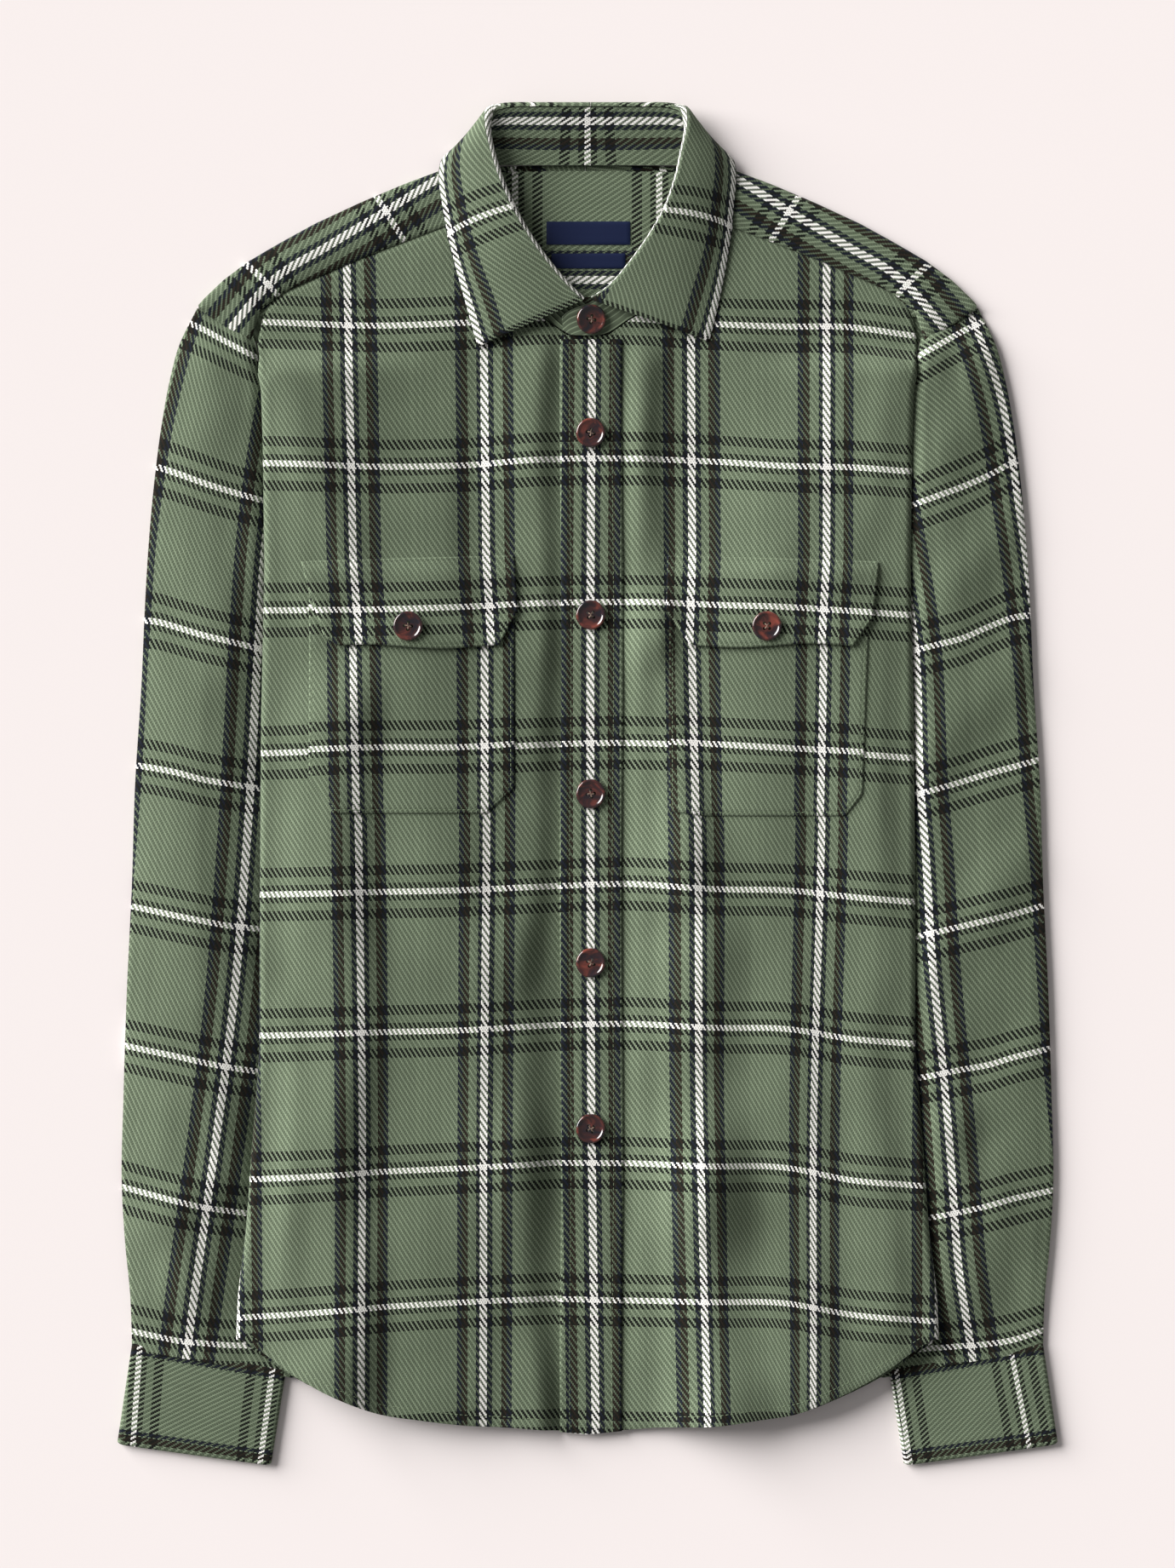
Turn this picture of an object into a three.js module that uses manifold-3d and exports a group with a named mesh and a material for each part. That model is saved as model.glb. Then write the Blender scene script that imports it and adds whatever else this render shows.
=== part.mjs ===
// A flannel overshirt, buttoned up and laid flat on its back.
// Millimetres. +Z is up, +Y points to the collar, +X is to the right as seen from above.
// The origin is on the underside of the back panel, near the middle of the shirt.

import * as THREE from 'three';
import Module from 'manifold-3d';
import { mergeVertices } from 'three/addons/utils/BufferGeometryUtils.js';

// Cloth and seams
const CLOTH = 1.2;
const BAND = 2.2;
const GAP = 0.3;
const LAYER = CLOTH + GAP;
const SEAM = 0.5;
const HALF = CLOTH / 2;

// Heights of the layers, measured to the middle of the cloth
const FLOOR_Z = HALF;
const YOKE_INSIDE_Z = FLOOR_Z + LAYER;
const YOKE_FRONT_Z = YOKE_INSIDE_Z + LAYER;
const FRONT_MID_Z = FLOOR_Z + LAYER;
const SLEEVE_HIDDEN_Z = FLOOR_Z + LAYER;
const STRIP_Z = SLEEVE_HIDDEN_Z + LAYER;
const ROLL_RADIUS = 1.5 * LAYER;
const ROLL_INSET = HALF + ROLL_RADIUS;

// The body's sides are turned under, from the armhole's top to the hem
const TURN_WIDTH = 75;
const TURN_TOP_Y = 242;
const UNDERARM_Y = 60;
const TURN_LEAST = 3;
const TURN_TAPER = 5;
const TURN_CLEAR = 2;

// Half widths of the laid shirt, the same on both sides
const OUTER = [
  { y: 283, x: 238 },
  { y: 257, x: 250 },
  { y: 242, x: 254 },
  { y: 210, x: 260 },
  { y: 179, x: 264 },
  { y: 148, x: 267 },
  { y: 101, x: 270 },
  { y: 55, x: 272 },
  { y: -8, x: 276 },
  { y: -70, x: 278 },
  { y: -133, x: 281 },
  { y: -195, x: 283 },
  { y: -257, x: 284 },
  { y: -289, x: 282 },
  { y: -320, x: 279 },
  { y: -350, x: 278 },
];
const BODY_SIDE = [
  { y: 261, x: 206 },
  { y: 252, x: 203 },
  { y: 232, x: 199 },
  { y: 200, x: 198 },
  { y: 125, x: 197 },
  { y: 30, x: 199 },
  { y: -110, x: 200 },
  { y: -170, x: 200 },
  { y: -235, x: 205 },
  { y: -278, x: 208 },
  { y: -320, x: 213 },
  { y: -346, x: 214 },
];
const HEM = [
  { x: 0, y: -404 },
  { x: 45, y: -400 },
  { x: 80, y: -398 },
  { x: 104, y: -395 },
  { x: 130, y: -391 },
  { x: 153, y: -382 },
  { x: 166, y: -376 },
  { x: 187, y: -364 },
  { x: 201, y: -354 },
  { x: 214, y: -346 },
];
const FRONT_TOP = [
  { x: 13, y: 264 },
  { x: 26, y: 266.5 },
  { x: 43, y: 278 },
  { x: 60, y: 299 },
  { x: 69, y: 322 },
  { x: 75, y: 337 },
  { x: 88, y: 333 },
  { x: 138, y: 314 },
  { x: 166, y: 302 },
  { x: 186, y: 293 },
  { x: 199, y: 283 },
  { x: 203, y: 274 },
  { x: 206, y: 261 },
];
const YOKE = [
  { x: 0, fold: 372, front: 340, back: 270 },
  { x: 40, fold: 371.5, front: 340, back: 270 },
  { x: 75, fold: 370.5, front: 337, back: 269.5 },
  { x: 88, fold: 367, front: 333, back: 269 },
  { x: 112, fold: 358, front: 324, back: 268 },
  { x: 138, fold: 347, front: 314, back: 267 },
  { x: 166, fold: 334, front: 302, back: 265.5 },
  { x: 186, fold: 323, front: 293, back: 264 },
  { x: 199, fold: 315.5, front: 283, back: 262.5 },
  { x: 203, fold: 313, front: 274, back: 262 },
  { x: 206, fold: 311.5, front: 262, back: 261.5 },
  { x: 222, fold: 299.5, front: 273, back: 273 },
  { x: 234, fold: 288, front: 281, back: 281 },
];
const YOKE_CROWN = 0.8;
const YOKE_CROWN_RISE = [112, 166];
const YOKE_CROWN_FALL = [186, 203];
const YOKE_FOLD_INSET = 2.35;
const YOKE_INSIDE_FOOT = 277;
const YOKE_INSIDE_INSET = 6;
const YOKE_INSIDE_REACH = 200;
const NECK_BACK_Y = 368;
const NECK_CUT_BACK = [
  { x: 0, y: 368 },
  { x: 66, y: 368 },
  { x: 80, y: 368.5 },
  { x: 80, y: 385 },
];
const NECK_CUT_SIDE = [
  { x: 76.5, y: 325 },
  { x: 77, y: 340 },
  { x: 78.5, y: 356 },
  { x: 80, y: 370 },
  { x: 80, y: 385 },
];
const CUT_REACH = 20;

// Collar stations from the middle of the back round to the front, one side
const COLLAR = [
  { neck: [0, 369.4, 3.7], roll: [0, 406, 10], edge: [0, 371.5, 1.1] },
  { neck: [30, 369.4, 3.7], roll: [26, 406, 10], edge: [34, 371.5, 1.1] },
  { neck: [54, 369.4, 3.7], roll: [44, 405.8, 10.2], edge: [60, 372, 1.2] },
  { neck: [66, 369.6, 3.8], roll: [52, 404.2, 10.8], edge: [71, 374, 2] },
  { neck: [72.5, 369.2, 3.9], roll: [57, 400.5, 11.6], edge: [79, 376.5, 3.4] },
  { neck: [75.3, 366.5, 4], roll: [59.6, 394.5, 12.6], edge: [85, 375.5, 4.8] },
  { neck: [76, 361, 4.2], roll: [60, 386.5, 13.6], edge: [89, 370, 6] },
  { neck: [75.2, 352.5, 4.4], roll: [57.5, 374, 14.4], edge: [90, 359, 6] },
  { neck: [73, 339, 4.4], roll: [52.8, 359, 14.8], edge: [88, 344, 5.9] },
  { neck: [68, 322, 4.4], roll: [45, 341, 14.2], edge: [84.5, 325, 5.8] },
  { neck: [58, 301, 4.4], roll: [35, 323.5, 12.8], edge: [79, 303, 5.8] },
  { neck: [41.5, 280.5, 4.4], roll: [23, 307, 10.6], edge: [73, 282, 5.8] },
  { neck: [26, 269.5, 4.4], roll: [11.5, 294, 8.6], edge: [67, 261, 5.8] },
  { neck: [13, 266.2, 4.4], roll: [3.5, 286.5, 7.2], edge: [65, 260, 5.8] },
];
const TAB_UPPER = [
  { neck: [6, 265.6, 5.4], roll: [-1, 284.4, 7.8] },
  { neck: [-3, 265.4, 6.8], roll: [-6, 282.4, 9] },
  { neck: [-10, 265.8, 7.2], roll: [-11.5, 280, 9] },
  { neck: [-15, 268.5, 7.4], roll: [-15.5, 276.5, 8.6] },
];
const TAB_LOWER = [
  { neck: [4, 265.8, 4.2], roll: [-2, 283, 5.4] },
  { neck: [-8, 265.8, 4.1], roll: [-9, 281, 4.6] },
  { neck: [-15, 268.5, 4.1], roll: [-15, 277, 4.2] },
];
const COLLAR_ROLL_RADIUS = 1.35;
const CORNER_STATION = 4;
const CORNER_SPREAD = 3;
const CORNER_ROLL_EXTRA = 0.9;
const LEAF_CROWN = 1.4;
const BACK_STATIONS = 5;
const STAND_ROWS = [0, 0.33, 0.67, 1];
const LEAF_TURNS = [0, 0.33, 0.67, 1];
const LEAF_ROWS = [0.33, 0.67, 1];

// Fronts: each centre edge, and where the columns and rows of the cloth run
const RIGHT_EDGE_X = -16;
const LEFT_EDGE_X = 23;
const PLACKET_RIGHT_X = 21;
const OVERLAP_END_X = 31;
const OVERLAP_FADE_X = 44;
const LEFT_COLUMNS = [-23, -3, 13, 24, 45, 56, 64.5, 70.2, 88, 106, 127, 150, 172, 182, 190, 194.5];
const RIGHT_COLUMNS = [-16, 2, 21, 31, 50, 57, 64.6, 70.3, 88, 106, 127, 150, 175, 184, 190, 194.5];
const CHEST_WIDTH = 194.5;
const TOP_WIDTH = 206;
const FRONT_ROWS = [
  236, 200, 165, 130, 114, 97, 79, 40, -5, -26, -75, -125, -175, -225, -270, -305, -335,
];
const FRONT_DOME_START = 20;
const FRONT_DOME_WIDTH = 92;
const RISE_LENGTH = 20;
const SHOULDER_REST_Y = 262;
const SHOULDER_REST_FADE = 36;
const TOP_LIFT = 1.2;
const TOP_LIFT_END = 190;
const CUFF_LIFT = 2.4;
const CUFF_LIFT_START = -225;
const CUFF_LIFT_END = -305;
const BEND_STEPS = 4;
const STRIP_STEPS = 2;
const BEND_QUARTERS = [0.25, 0.5, 0.75];
const FOLD_END_WIDTHS = 2.5;

// The largest folds of the fronts: a ridge along a line
const FRONT_FOLDS = [
  { x0: -50, y0: 170, x1: -52, y1: -60, width: 15, height: 2.2 },
  { x0: -48, y0: -110, x1: -50, y1: -300, width: 14, height: 2.6 },
  { x0: -108, y0: 60, x1: -112, y1: -120, width: 20, height: 1.2 },
  { x0: -190, y0: 235, x1: -148, y1: 128, width: 14, height: 1.4 },
  { x0: -116, y0: -190, x1: -124, y1: -360, width: 17, height: 1.8 },
  { x0: 60, y0: 150, x1: 62, y1: -60, width: 14, height: 2 },
  { x0: 112, y0: 110, x1: 108, y1: -70, width: 17, height: 1.6 },
  { x0: 190, y0: 235, x1: 152, y1: 120, width: 14, height: 1.4 },
  { x0: 56, y0: -120, x1: 54, y1: -320, width: 14, height: 2.4 },
  { x0: 110, y0: -150, x1: 122, y1: -350, width: 17, height: 2 },
];

// Back
const BACK_ROWS = [236, 200, 165, 130, 79, 40, -26, -75, -125, -175, -225, -270, -305, -335];
const BACK_RAMP = 60;

// Sleeves
const SLEEVE_ROWS = [0, 0.03, 0.08, 0.15, 0.23, 0.31, 0.39, 0.47, 0.55, 0.63, 0.71, 0.79, 0.87, 0.94, 1];
const SLEEVE_UNDERARM_X = 123;
const SLEEVE_CUFF_X = 181;
const SLEEVE_TUCK = 3;
const SLEEVE_SHOWN = [
  { across: 0, height: 2.4 },
  { across: 0.3, height: 3.2 },
  { across: 0.6, height: 2.6 },
  { across: 0.86, height: 1.2 },
  { across: 1, height: 0 },
];
const SLEEVE_CAP_LENGTH = 34;
const SLEEVE_FLAT_END = -310;
const SLEEVE_SHOWN_AT_CUFF = 0.62;
const SLEEVE_CUFF_LOSS = 0.6;
const TURN_TOP_X = 204;
const SLEEVE_FOLDS = [
  { x0: 262, y0: 60, x1: 214, y1: 10, width: 13, height: 0.9 },
  { x0: 268, y0: -60, x1: 216, y1: -110, width: 13, height: 1 },
  { x0: 272, y0: -170, x1: 222, y1: -215, width: 12, height: 1 },
  { x0: 268, y0: -280, x1: 226, y1: -250, width: 11, height: 1 },
];

// Cuffs: four corners of the laid band
const CUFF_CORNERS = {
  topOuter: [278, -349.5],
  topInner: [184, -366],
  footInner: [193, -423],
  footOuter: [287, -410],
};
const CUFF_WALL = 2.2;

// Pockets and flaps, by the columns and rows of the fronts that they follow
const POCKET_TOP_ROW = 114;
const POCKET_FOOT_ROW = -26;
const FLAP_TOP_ROW = 130;
const FLAP_FOOT_ROW = 79;

// How far the slanted foot corners of pockets and flaps move in and up, inner and outer corner
const POCKET_CORNERS = [[8, 9], [-11, 11]];
const FLAP_CORNERS = [[4, 8], [-6, 6]];

// Buttons
const BUTTON_RADIUS = 9;
const BUTTON_HEIGHT = 2.6;
const BUTTON_RIM = 1.5;
const BUTTON_DISH = 0.7;
const BUTTON_HOLE_RADIUS = 1;
const BUTTON_HOLE_PITCH = 1.9;
const BUTTON_SIDES = 16;
const BUTTON_HOLES = 4;
const BUTTON_HOLE_SIDES = 5;
const BUTTON_Y = [206, 95, -14, -117, -218];
const BUTTON_X = 2;
const FLAP_BUTTON = { x: 109, y: 88 };
const COLLAR_BUTTON_SPAN = 2;
const COLLAR_BUTTON_REACH = 1.5;

const LABELS = {
  main: { x: 0.5, y: 328, width: 51, length: 14 },
  size: { x: 0.5, y: 311, width: 45, length: 9 },
};
const LABEL_THICK = 0.6;
const SAME_POINT = 1e-4;
const ON_EDGE = 1e-6;

const wasm = await Module();
wasm.setup();
const shirt = new THREE.Group();

const COLOURS = {
  flannel: { color: 0x6c7a62, roughness: 0.95, metalness: 0 },
  flannelDark: { color: 0x55634f, roughness: 0.95, metalness: 0 },
  label: { color: 0x1b2a4e, roughness: 0.8, metalness: 0 },
  button: { color: 0x3a2224, roughness: 0.3, metalness: 0 },
};

function lerp(a, b, t) {
  return a + (b - a) * t;
}

function smooth(from, to, value) {
  const t = Math.min(Math.max((value - from) / (to - from), 0), 1);
  return t * t * (3 - 2 * t);
}

// A value read from a table by straight lines, held at its ends
function read(table, key, at, wanted) {
  const rising = table[table.length - 1][key] > table[0][key];
  const rows = rising ? table : [...table].reverse();
  if (at <= rows[0][key]) return rows[0][wanted];
  for (let i = 1; i < rows.length; i += 1) {
    if (at <= rows[i][key]) {
      const t = (at - rows[i - 1][key]) / (rows[i][key] - rows[i - 1][key]);
      return lerp(rows[i - 1][wanted], rows[i][wanted], t);
    }
  }
  return rows[rows.length - 1][wanted];
}

// How far a ridge lifts the cloth at a point
function ridge(fold, x, y) {
  const along = new THREE.Vector2(fold.x1 - fold.x0, fold.y1 - fold.y0);
  const length = along.length();
  along.divideScalar(length);
  const to = new THREE.Vector2(x - fold.x0, y - fold.y0);
  const run = to.dot(along);
  const off = Math.abs(to.cross(along));
  const past = Math.max(-run, run - length, 0);
  const side = Math.max(1 - off / (2 * fold.width), 0);
  const end = Math.max(1 - past / (FOLD_END_WIDTHS * fold.width), 0);
  return fold.height * smooth(0, 1, side) * smooth(0, 1, end);
}

function foldHeight(folds, x, y) {
  return folds.reduce((sum, fold) => sum + ridge(fold, x, y), 0);
}

// The direction square to the cloth at a point of its grid, from the points round it
function clothNormal(grid, before, i, after, k) {
  const du = grid[after][k].clone().sub(grid[before][k]);
  const last = grid[i].length - 1;
  const dv = grid[i][Math.min(k + 1, last)].clone().sub(grid[i][Math.max(k - 1, 0)]);
  return du.cross(dv).normalize();
}

// A closed wall round a grid of points at the middle of the cloth.
// grid[i][k] runs across by i and along by k. A ring joins its last column to its first.
// From the column mirroredFrom on, the squares are halved the other way, as in a mirror.
function wall(grid, thickness, { ring = false, mirroredFrom = grid.length } = {}) {
  const across = grid.length;
  const along = grid[0].length;
  const positions = [];
  const triangles = [];
  const column = (i) => (ring ? (i + across) % across : Math.min(Math.max(i, 0), across - 1));
  for (const side of [1, -1]) {
    for (let i = 0; i < across; i += 1) {
      for (let k = 0; k < along; k += 1) {
        const normal = clothNormal(grid, column(i - 1), i, column(i + 1), k);
        const point = grid[i][k].clone().addScaledVector(normal, side * thickness / 2);
        positions.push(point.x, point.y, point.z);
      }
    }
  }
  const count = across * along;
  const outer = (i, k) => column(i) * along + k;
  const inner = (i, k) => count + column(i) * along + k;
  const quad = (a, b, c, d, other = false) => {
    if (other) triangles.push(a, b, d, b, c, d);
    else triangles.push(a, b, c, a, c, d);
  };
  const spans = ring ? across : across - 1;
  for (let i = 0; i < spans; i += 1) {
    const other = i >= mirroredFrom;
    for (let k = 0; k < along - 1; k += 1) {
      quad(outer(i, k), outer(i + 1, k), outer(i + 1, k + 1), outer(i, k + 1), other);
      quad(inner(i, k), inner(i, k + 1), inner(i + 1, k + 1), inner(i + 1, k), other);
    }
    const last = along - 1;
    quad(inner(i, 0), inner(i + 1, 0), outer(i + 1, 0), outer(i, 0), other);
    quad(outer(i, last), outer(i + 1, last), inner(i + 1, last), inner(i, last), other);
  }
  if (!ring) {
    const last = across - 1;
    for (let k = 0; k < along - 1; k += 1) {
      quad(outer(0, k), outer(0, k + 1), inner(0, k + 1), inner(0, k));
      quad(inner(last, k), inner(last, k + 1), outer(last, k + 1), outer(last, k));
    }
  }
  const geometry = new THREE.BufferGeometry();
  geometry.setAttribute('position', new THREE.Float32BufferAttribute(positions, 3));
  geometry.setIndex(triangles);
  return geometry;
}

function addPiece(name, geometry, colour) {
  geometry.computeVertexNormals();
  const mesh = new THREE.Mesh(geometry, new THREE.MeshStandardMaterial(COLOURS[colour]));
  mesh.name = name;
  shirt.add(mesh);
  return mesh;
}

// A mesh as a solid that can be cut, and back again
function toSolid(geometry) {
  const bare = new THREE.BufferGeometry();
  bare.setAttribute('position', geometry.getAttribute('position').clone());
  if (geometry.index) bare.setIndex(geometry.index.clone());
  const merged = mergeVertices(bare, SAME_POINT);
  const vertProperties = new Float32Array(merged.getAttribute('position').array);
  const triVerts = new Uint32Array(merged.index.array);
  return new wasm.Manifold(new wasm.Mesh({ numProp: 3, vertProperties, triVerts }));
}

function toGeometry(solid) {
  const mesh = solid.getMesh();
  const geometry = new THREE.BufferGeometry();
  geometry.setAttribute('position', new THREE.Float32BufferAttribute(mesh.vertProperties, 3));
  geometry.setIndex([...mesh.triVerts]);
  return geometry;
}

function prism(points, bottom, top) {
  const shape = new THREE.Shape(points.map(([x, y]) => new THREE.Vector2(x, y)));
  const solid = new THREE.ExtrudeGeometry(shape, { depth: top - bottom, bevelEnabled: false });
  solid.translate(0, 0, bottom);
  return toSolid(solid);
}

// The faceted cloth's height at a point, read from the triangles of its grid
function heightOn(grid, x, y) {
  const inTriangle = (a, b, c) => {
    const area = (b.x - a.x) * (c.y - a.y) - (c.x - a.x) * (b.y - a.y);
    const v = ((x - a.x) * (c.y - a.y) - (c.x - a.x) * (y - a.y)) / area;
    const w = ((b.x - a.x) * (y - a.y) - (x - a.x) * (b.y - a.y)) / area;
    if (v < -ON_EDGE || w < -ON_EDGE || v + w > 1 + ON_EDGE) return null;
    return a.z + v * (b.z - a.z) + w * (c.z - a.z);
  };
  for (let i = 0; i < grid.length - 1; i += 1) {
    for (let k = 0; k < grid[0].length - 1; k += 1) {
      const a = grid[i][k];
      const b = grid[i + 1][k];
      const c = grid[i + 1][k + 1];
      const d = grid[i][k + 1];
      const height = inTriangle(a, b, c) ?? inTriangle(a, c, d);
      if (height !== null) return height;
    }
  }
  throw new Error(`no cloth at ${x}, ${y}`);
}

function bodySide(y) {
  return read(BODY_SIDE, 'y', y, 'x');
}

function turnWidth(y) {
  return Math.max(TURN_WIDTH * smooth(TURN_TOP_Y, UNDERARM_Y, y), TURN_LEAST);
}

// The extra height of the turned sides over the sleeve's seam and over the cuff
function sideLift(y) {
  const top = TOP_LIFT * smooth(TOP_LIFT_END, TURN_TOP_Y, y);
  return top + CUFF_LIFT * smooth(CUFF_LIFT_START, CUFF_LIFT_END, y);
}

function frontEdgeHeight(y) {
  const stacked = STRIP_Z + 2 * ROLL_RADIUS + sideLift(y);
  const top = BODY_SIDE[0].y;
  return lerp(YOKE_FRONT_Z, stacked, smooth(top, top - RISE_LENGTH, y));
}

// The height of a front panel's middle layer; x is towards its own side
function frontHeight(side, x, y) {
  const middle = lerp(FRONT_MID_Z, YOKE_FRONT_Z, smooth(SHOULDER_REST_Y - SHOULDER_REST_FADE,
    SHOULDER_REST_Y, y));
  const overlapped = side > 0 ? LAYER * (1 - smooth(OVERLAP_END_X, OVERLAP_FADE_X, x)) : 0;
  const inward = bodySide(y) - ROLL_INSET - x;
  const start = turnWidth(y) + FRONT_DOME_START;
  const dome = 1 - smooth(start, start + FRONT_DOME_WIDTH, inward);
  const edgeTop = BODY_SIDE[0].y;
  const shoulder = y > edgeTop ? YOKE_FRONT_Z : frontEdgeHeight(y);
  const folds = foldHeight(FRONT_FOLDS, side * x, y);
  return middle + overlapped + dome * (shoulder - middle) + folds;
}

// Rows of one column: its top, a row between, the level rows, and its hem
function columnRows(top, foot, levels) {
  return [top, lerp(top, levels[0], 0.5), ...levels, foot];
}

function frontGrid(side, columns, edge) {
  const points = [];
  for (const at of columns) {
    const t = (at - edge) / (CHEST_WIDTH - edge);
    const top = read(FRONT_TOP, 'x', lerp(edge, TOP_WIDTH, t), 'y') - SEAM;
    const hemX = lerp(edge, BODY_SIDE[BODY_SIDE.length - 1].x, t);
    const foot = read(HEM, 'x', Math.abs(hemX), 'y');
    points.push(columnRows(top, foot, FRONT_ROWS).map((y) => {
      const x = lerp(edge, bodySide(y) - ROLL_INSET, t);
      return new THREE.Vector3(side * x, y, frontHeight(side, x, y));
    }));
  }
  addTurn(points, side, {
    levels: FRONT_ROWS,
    top: TURN_TOP_Y + TURN_TAPER,
    strip: () => STRIP_Z,
    edge: frontEdgeHeight,
  });
  return points;
}

// The roll of a panel's side, and the strip that is turned under
function addTurn(points, side, { levels, top, strip, edge }) {
  const foot = BODY_SIDE[BODY_SIDE.length - 1].y;
  for (let i = 1; i <= BEND_STEPS + STRIP_STEPS; i += 1) {
    const bend = Math.min(i / BEND_STEPS, 1);
    const inward = Math.max(i - BEND_STEPS, 0) / STRIP_STEPS;
    const columnTop = lerp(top, TURN_TOP_Y, bend);
    points.push(columnRows(columnTop, foot + inward * SEAM, levels).map((y) => {
      const low = strip(y) + sideLift(y);
      const radius = Math.max((edge(y) - low) / 2, 0);
      const x = bodySide(y) - ROLL_INSET + radius * Math.sin(Math.PI * bend)
        - inward * turnWidth(y);
      const z = low + radius + radius * Math.cos(Math.PI * bend);
      return new THREE.Vector3(side * x, y, z);
    }));
  }
}

// The back: its middle lies on the floor, and its sides rise over the turned strips
function backEdgeHeight(y) {
  const stacked = STRIP_Z + 2 * LAYER + sideLift(y);
  const top = BODY_SIDE[0].y;
  return lerp(FLOOR_Z, stacked, smooth(top, top - RISE_LENGTH, y));
}

function backGrid() {
  const half = (side) => {
    const columns = [];
    const offsets = [0, 0.5, 1].map((t) => (y) => t * (turnWidth(y) + TURN_CLEAR));
    for (const third of [1, 2, 3]) {
      offsets.push((y) => turnWidth(y) + TURN_CLEAR + (third * BACK_RAMP) / 3);
    }
    for (const offset of offsets) {
      const xAt = (y) => bodySide(y) - ROLL_INSET - offset(y);
      const top = read(YOKE, 'x', xAt(BODY_SIDE[0].y), 'back') - SEAM;
      const foot = read(HEM, 'x', xAt(BODY_SIDE[BODY_SIDE.length - 1].y), 'y');
      columns.push(columnRows(top, foot, BACK_ROWS).map((y) => {
        const start = turnWidth(y) + TURN_CLEAR;
        const share = 1 - smooth(start, start + BACK_RAMP, offset(y));
        const z = lerp(FLOOR_Z, backEdgeHeight(y), share);
        return new THREE.Vector3(side * xAt(y), y, z);
      }));
    }
    columns.reverse();
    addTurn(columns, side, {
      levels: BACK_ROWS,
      top: BODY_SIDE[0].y - SEAM - RISE_LENGTH,
      strip: () => STRIP_Z + LAYER,
      edge: backEdgeHeight,
    });
    return columns;
  };
  const right = half(1);
  const left = half(-1);
  return [...left.reverse(), ...right];
}

// The height of a sleeve's upper layer, flat under the body and a little full beside it
function sleeveHeight(side, across, x, y, top) {
  const cuffTop = 1.5 * CUFF_WALL + GAP;
  const atCuff = smooth(SLEEVE_FLAT_END, CUFF_CORNERS.topOuter[1], y);
  const flat = lerp(SLEEVE_HIDDEN_Z, cuffTop, atCuff);
  if (across >= 1) return flat;
  const atCap = smooth(top - SLEEVE_CAP_LENGTH, top, y);
  const full = read(SLEEVE_SHOWN, 'across', across, 'height') * (1 - SLEEVE_CUFF_LOSS * atCuff);
  const folds = foldHeight(SLEEVE_FOLDS, side * x, y) * (1 - atCap);
  return Math.max(flat + full * (1 - atCap) + folds, lerp(flat, YOKE_FRONT_Z, atCap));
}

function sleeveGrid(side) {
  const cuff = CUFF_CORNERS;
  const footAt = (across) => lerp(cuff.topOuter[1], cuff.topInner[1], across) + SEAM;
  const innerX = (y) => (
    lerp(SLEEVE_UNDERARM_X, SLEEVE_CUFF_X, smooth(UNDERARM_Y, cuff.topInner[1], y))
  );
  const tuckX = (y) => bodySide(y) - SLEEVE_TUCK;
  const outerX = (y) => read(OUTER, 'y', y, 'x') - HALF;
  const places = SLEEVE_SHOWN.map(({ across }) => {
    const capX = lerp(OUTER[0].x, TURN_TOP_X, across);
    const top = across < 1 ? read(YOKE, 'x', capX, 'front') - SEAM : TURN_TOP_Y;
    return { across, hidden: 0, top };
  });
  for (const hidden of [0.5, 1]) {
    places.push({ across: 1, hidden, top: lerp(TURN_TOP_Y, UNDERARM_Y, hidden) });
  }
  const columns = [];
  const addColumn = ({ across, hidden, top }, turn) => {
    const foot = footAt(across * SLEEVE_SHOWN_AT_CUFF + hidden * (1 - SLEEVE_SHOWN_AT_CUFF));
    columns.push(SLEEVE_ROWS.map((share) => {
      const y = lerp(top, foot, share);
      const flatX = lerp(lerp(outerX(y), tuckX(y), across), innerX(y), hidden);
      const high = sleeveHeight(side, across, flatX, y, places[0].top);
      const radius = (high - FLOOR_Z) / 2;
      const outerEdge = across === 0 ? radius : 0;
      const innerEdge = hidden === 1 ? radius : 0;
      const x = flatX - outerEdge + innerEdge
        + (outerEdge - innerEdge) * Math.sin(Math.PI * turn);
      const z = FLOOR_Z + radius + radius * Math.cos(Math.PI * turn);
      return new THREE.Vector3(side * x, y, z);
    }));
  };
  const last = places.length - 1;
  const under = [places[last], places[last - 1], places[last - 2], places[2], places[0]];
  places.forEach((place) => addColumn(place, 0));
  addColumn(places[last], 0.5);
  under.forEach((place) => addColumn(place, 1));
  [...BEND_QUARTERS].reverse().forEach((turn) => addColumn(places[0], turn));
  return columns;
}

// The yoke runs from its front seam over the shoulder fold to its back seam
function yokeGrid() {
  const half = YOKE.map(({ x, fold, front, back }) => {
    const full = YOKE_CROWN * smooth(...YOKE_CROWN_RISE, x) * (1 - smooth(...YOKE_CROWN_FALL, x));
    const radius = (YOKE_FRONT_Z - FLOOR_Z) / 2;
    const centre = fold - YOKE_FOLD_INSET;
    const points = [0, 0.5, 1].map((t) => {
      const z = YOKE_FRONT_Z + full * Math.sin(Math.PI * t);
      return new THREE.Vector3(x, lerp(front, centre, t), z);
    });
    for (const turn of BEND_QUARTERS) {
      const y = centre + radius * Math.sin(Math.PI * turn);
      points.push(new THREE.Vector3(x, y, FLOOR_Z + radius + radius * Math.cos(Math.PI * turn)));
    }
    for (const t of [0, 0.5, 1]) {
      points.push(new THREE.Vector3(x, lerp(centre, back, t), FLOOR_Z));
    }
    return points;
  });
  return mirrored(half);
}

// Both halves of a grid whose first column is on the middle line
function mirrored(half) {
  const flip = (point) => new THREE.Vector3(-point.x, point.y, point.z);
  const left = half.slice(1).reverse().map((column) => column.map(flip));
  return [...left, ...half];
}

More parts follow.
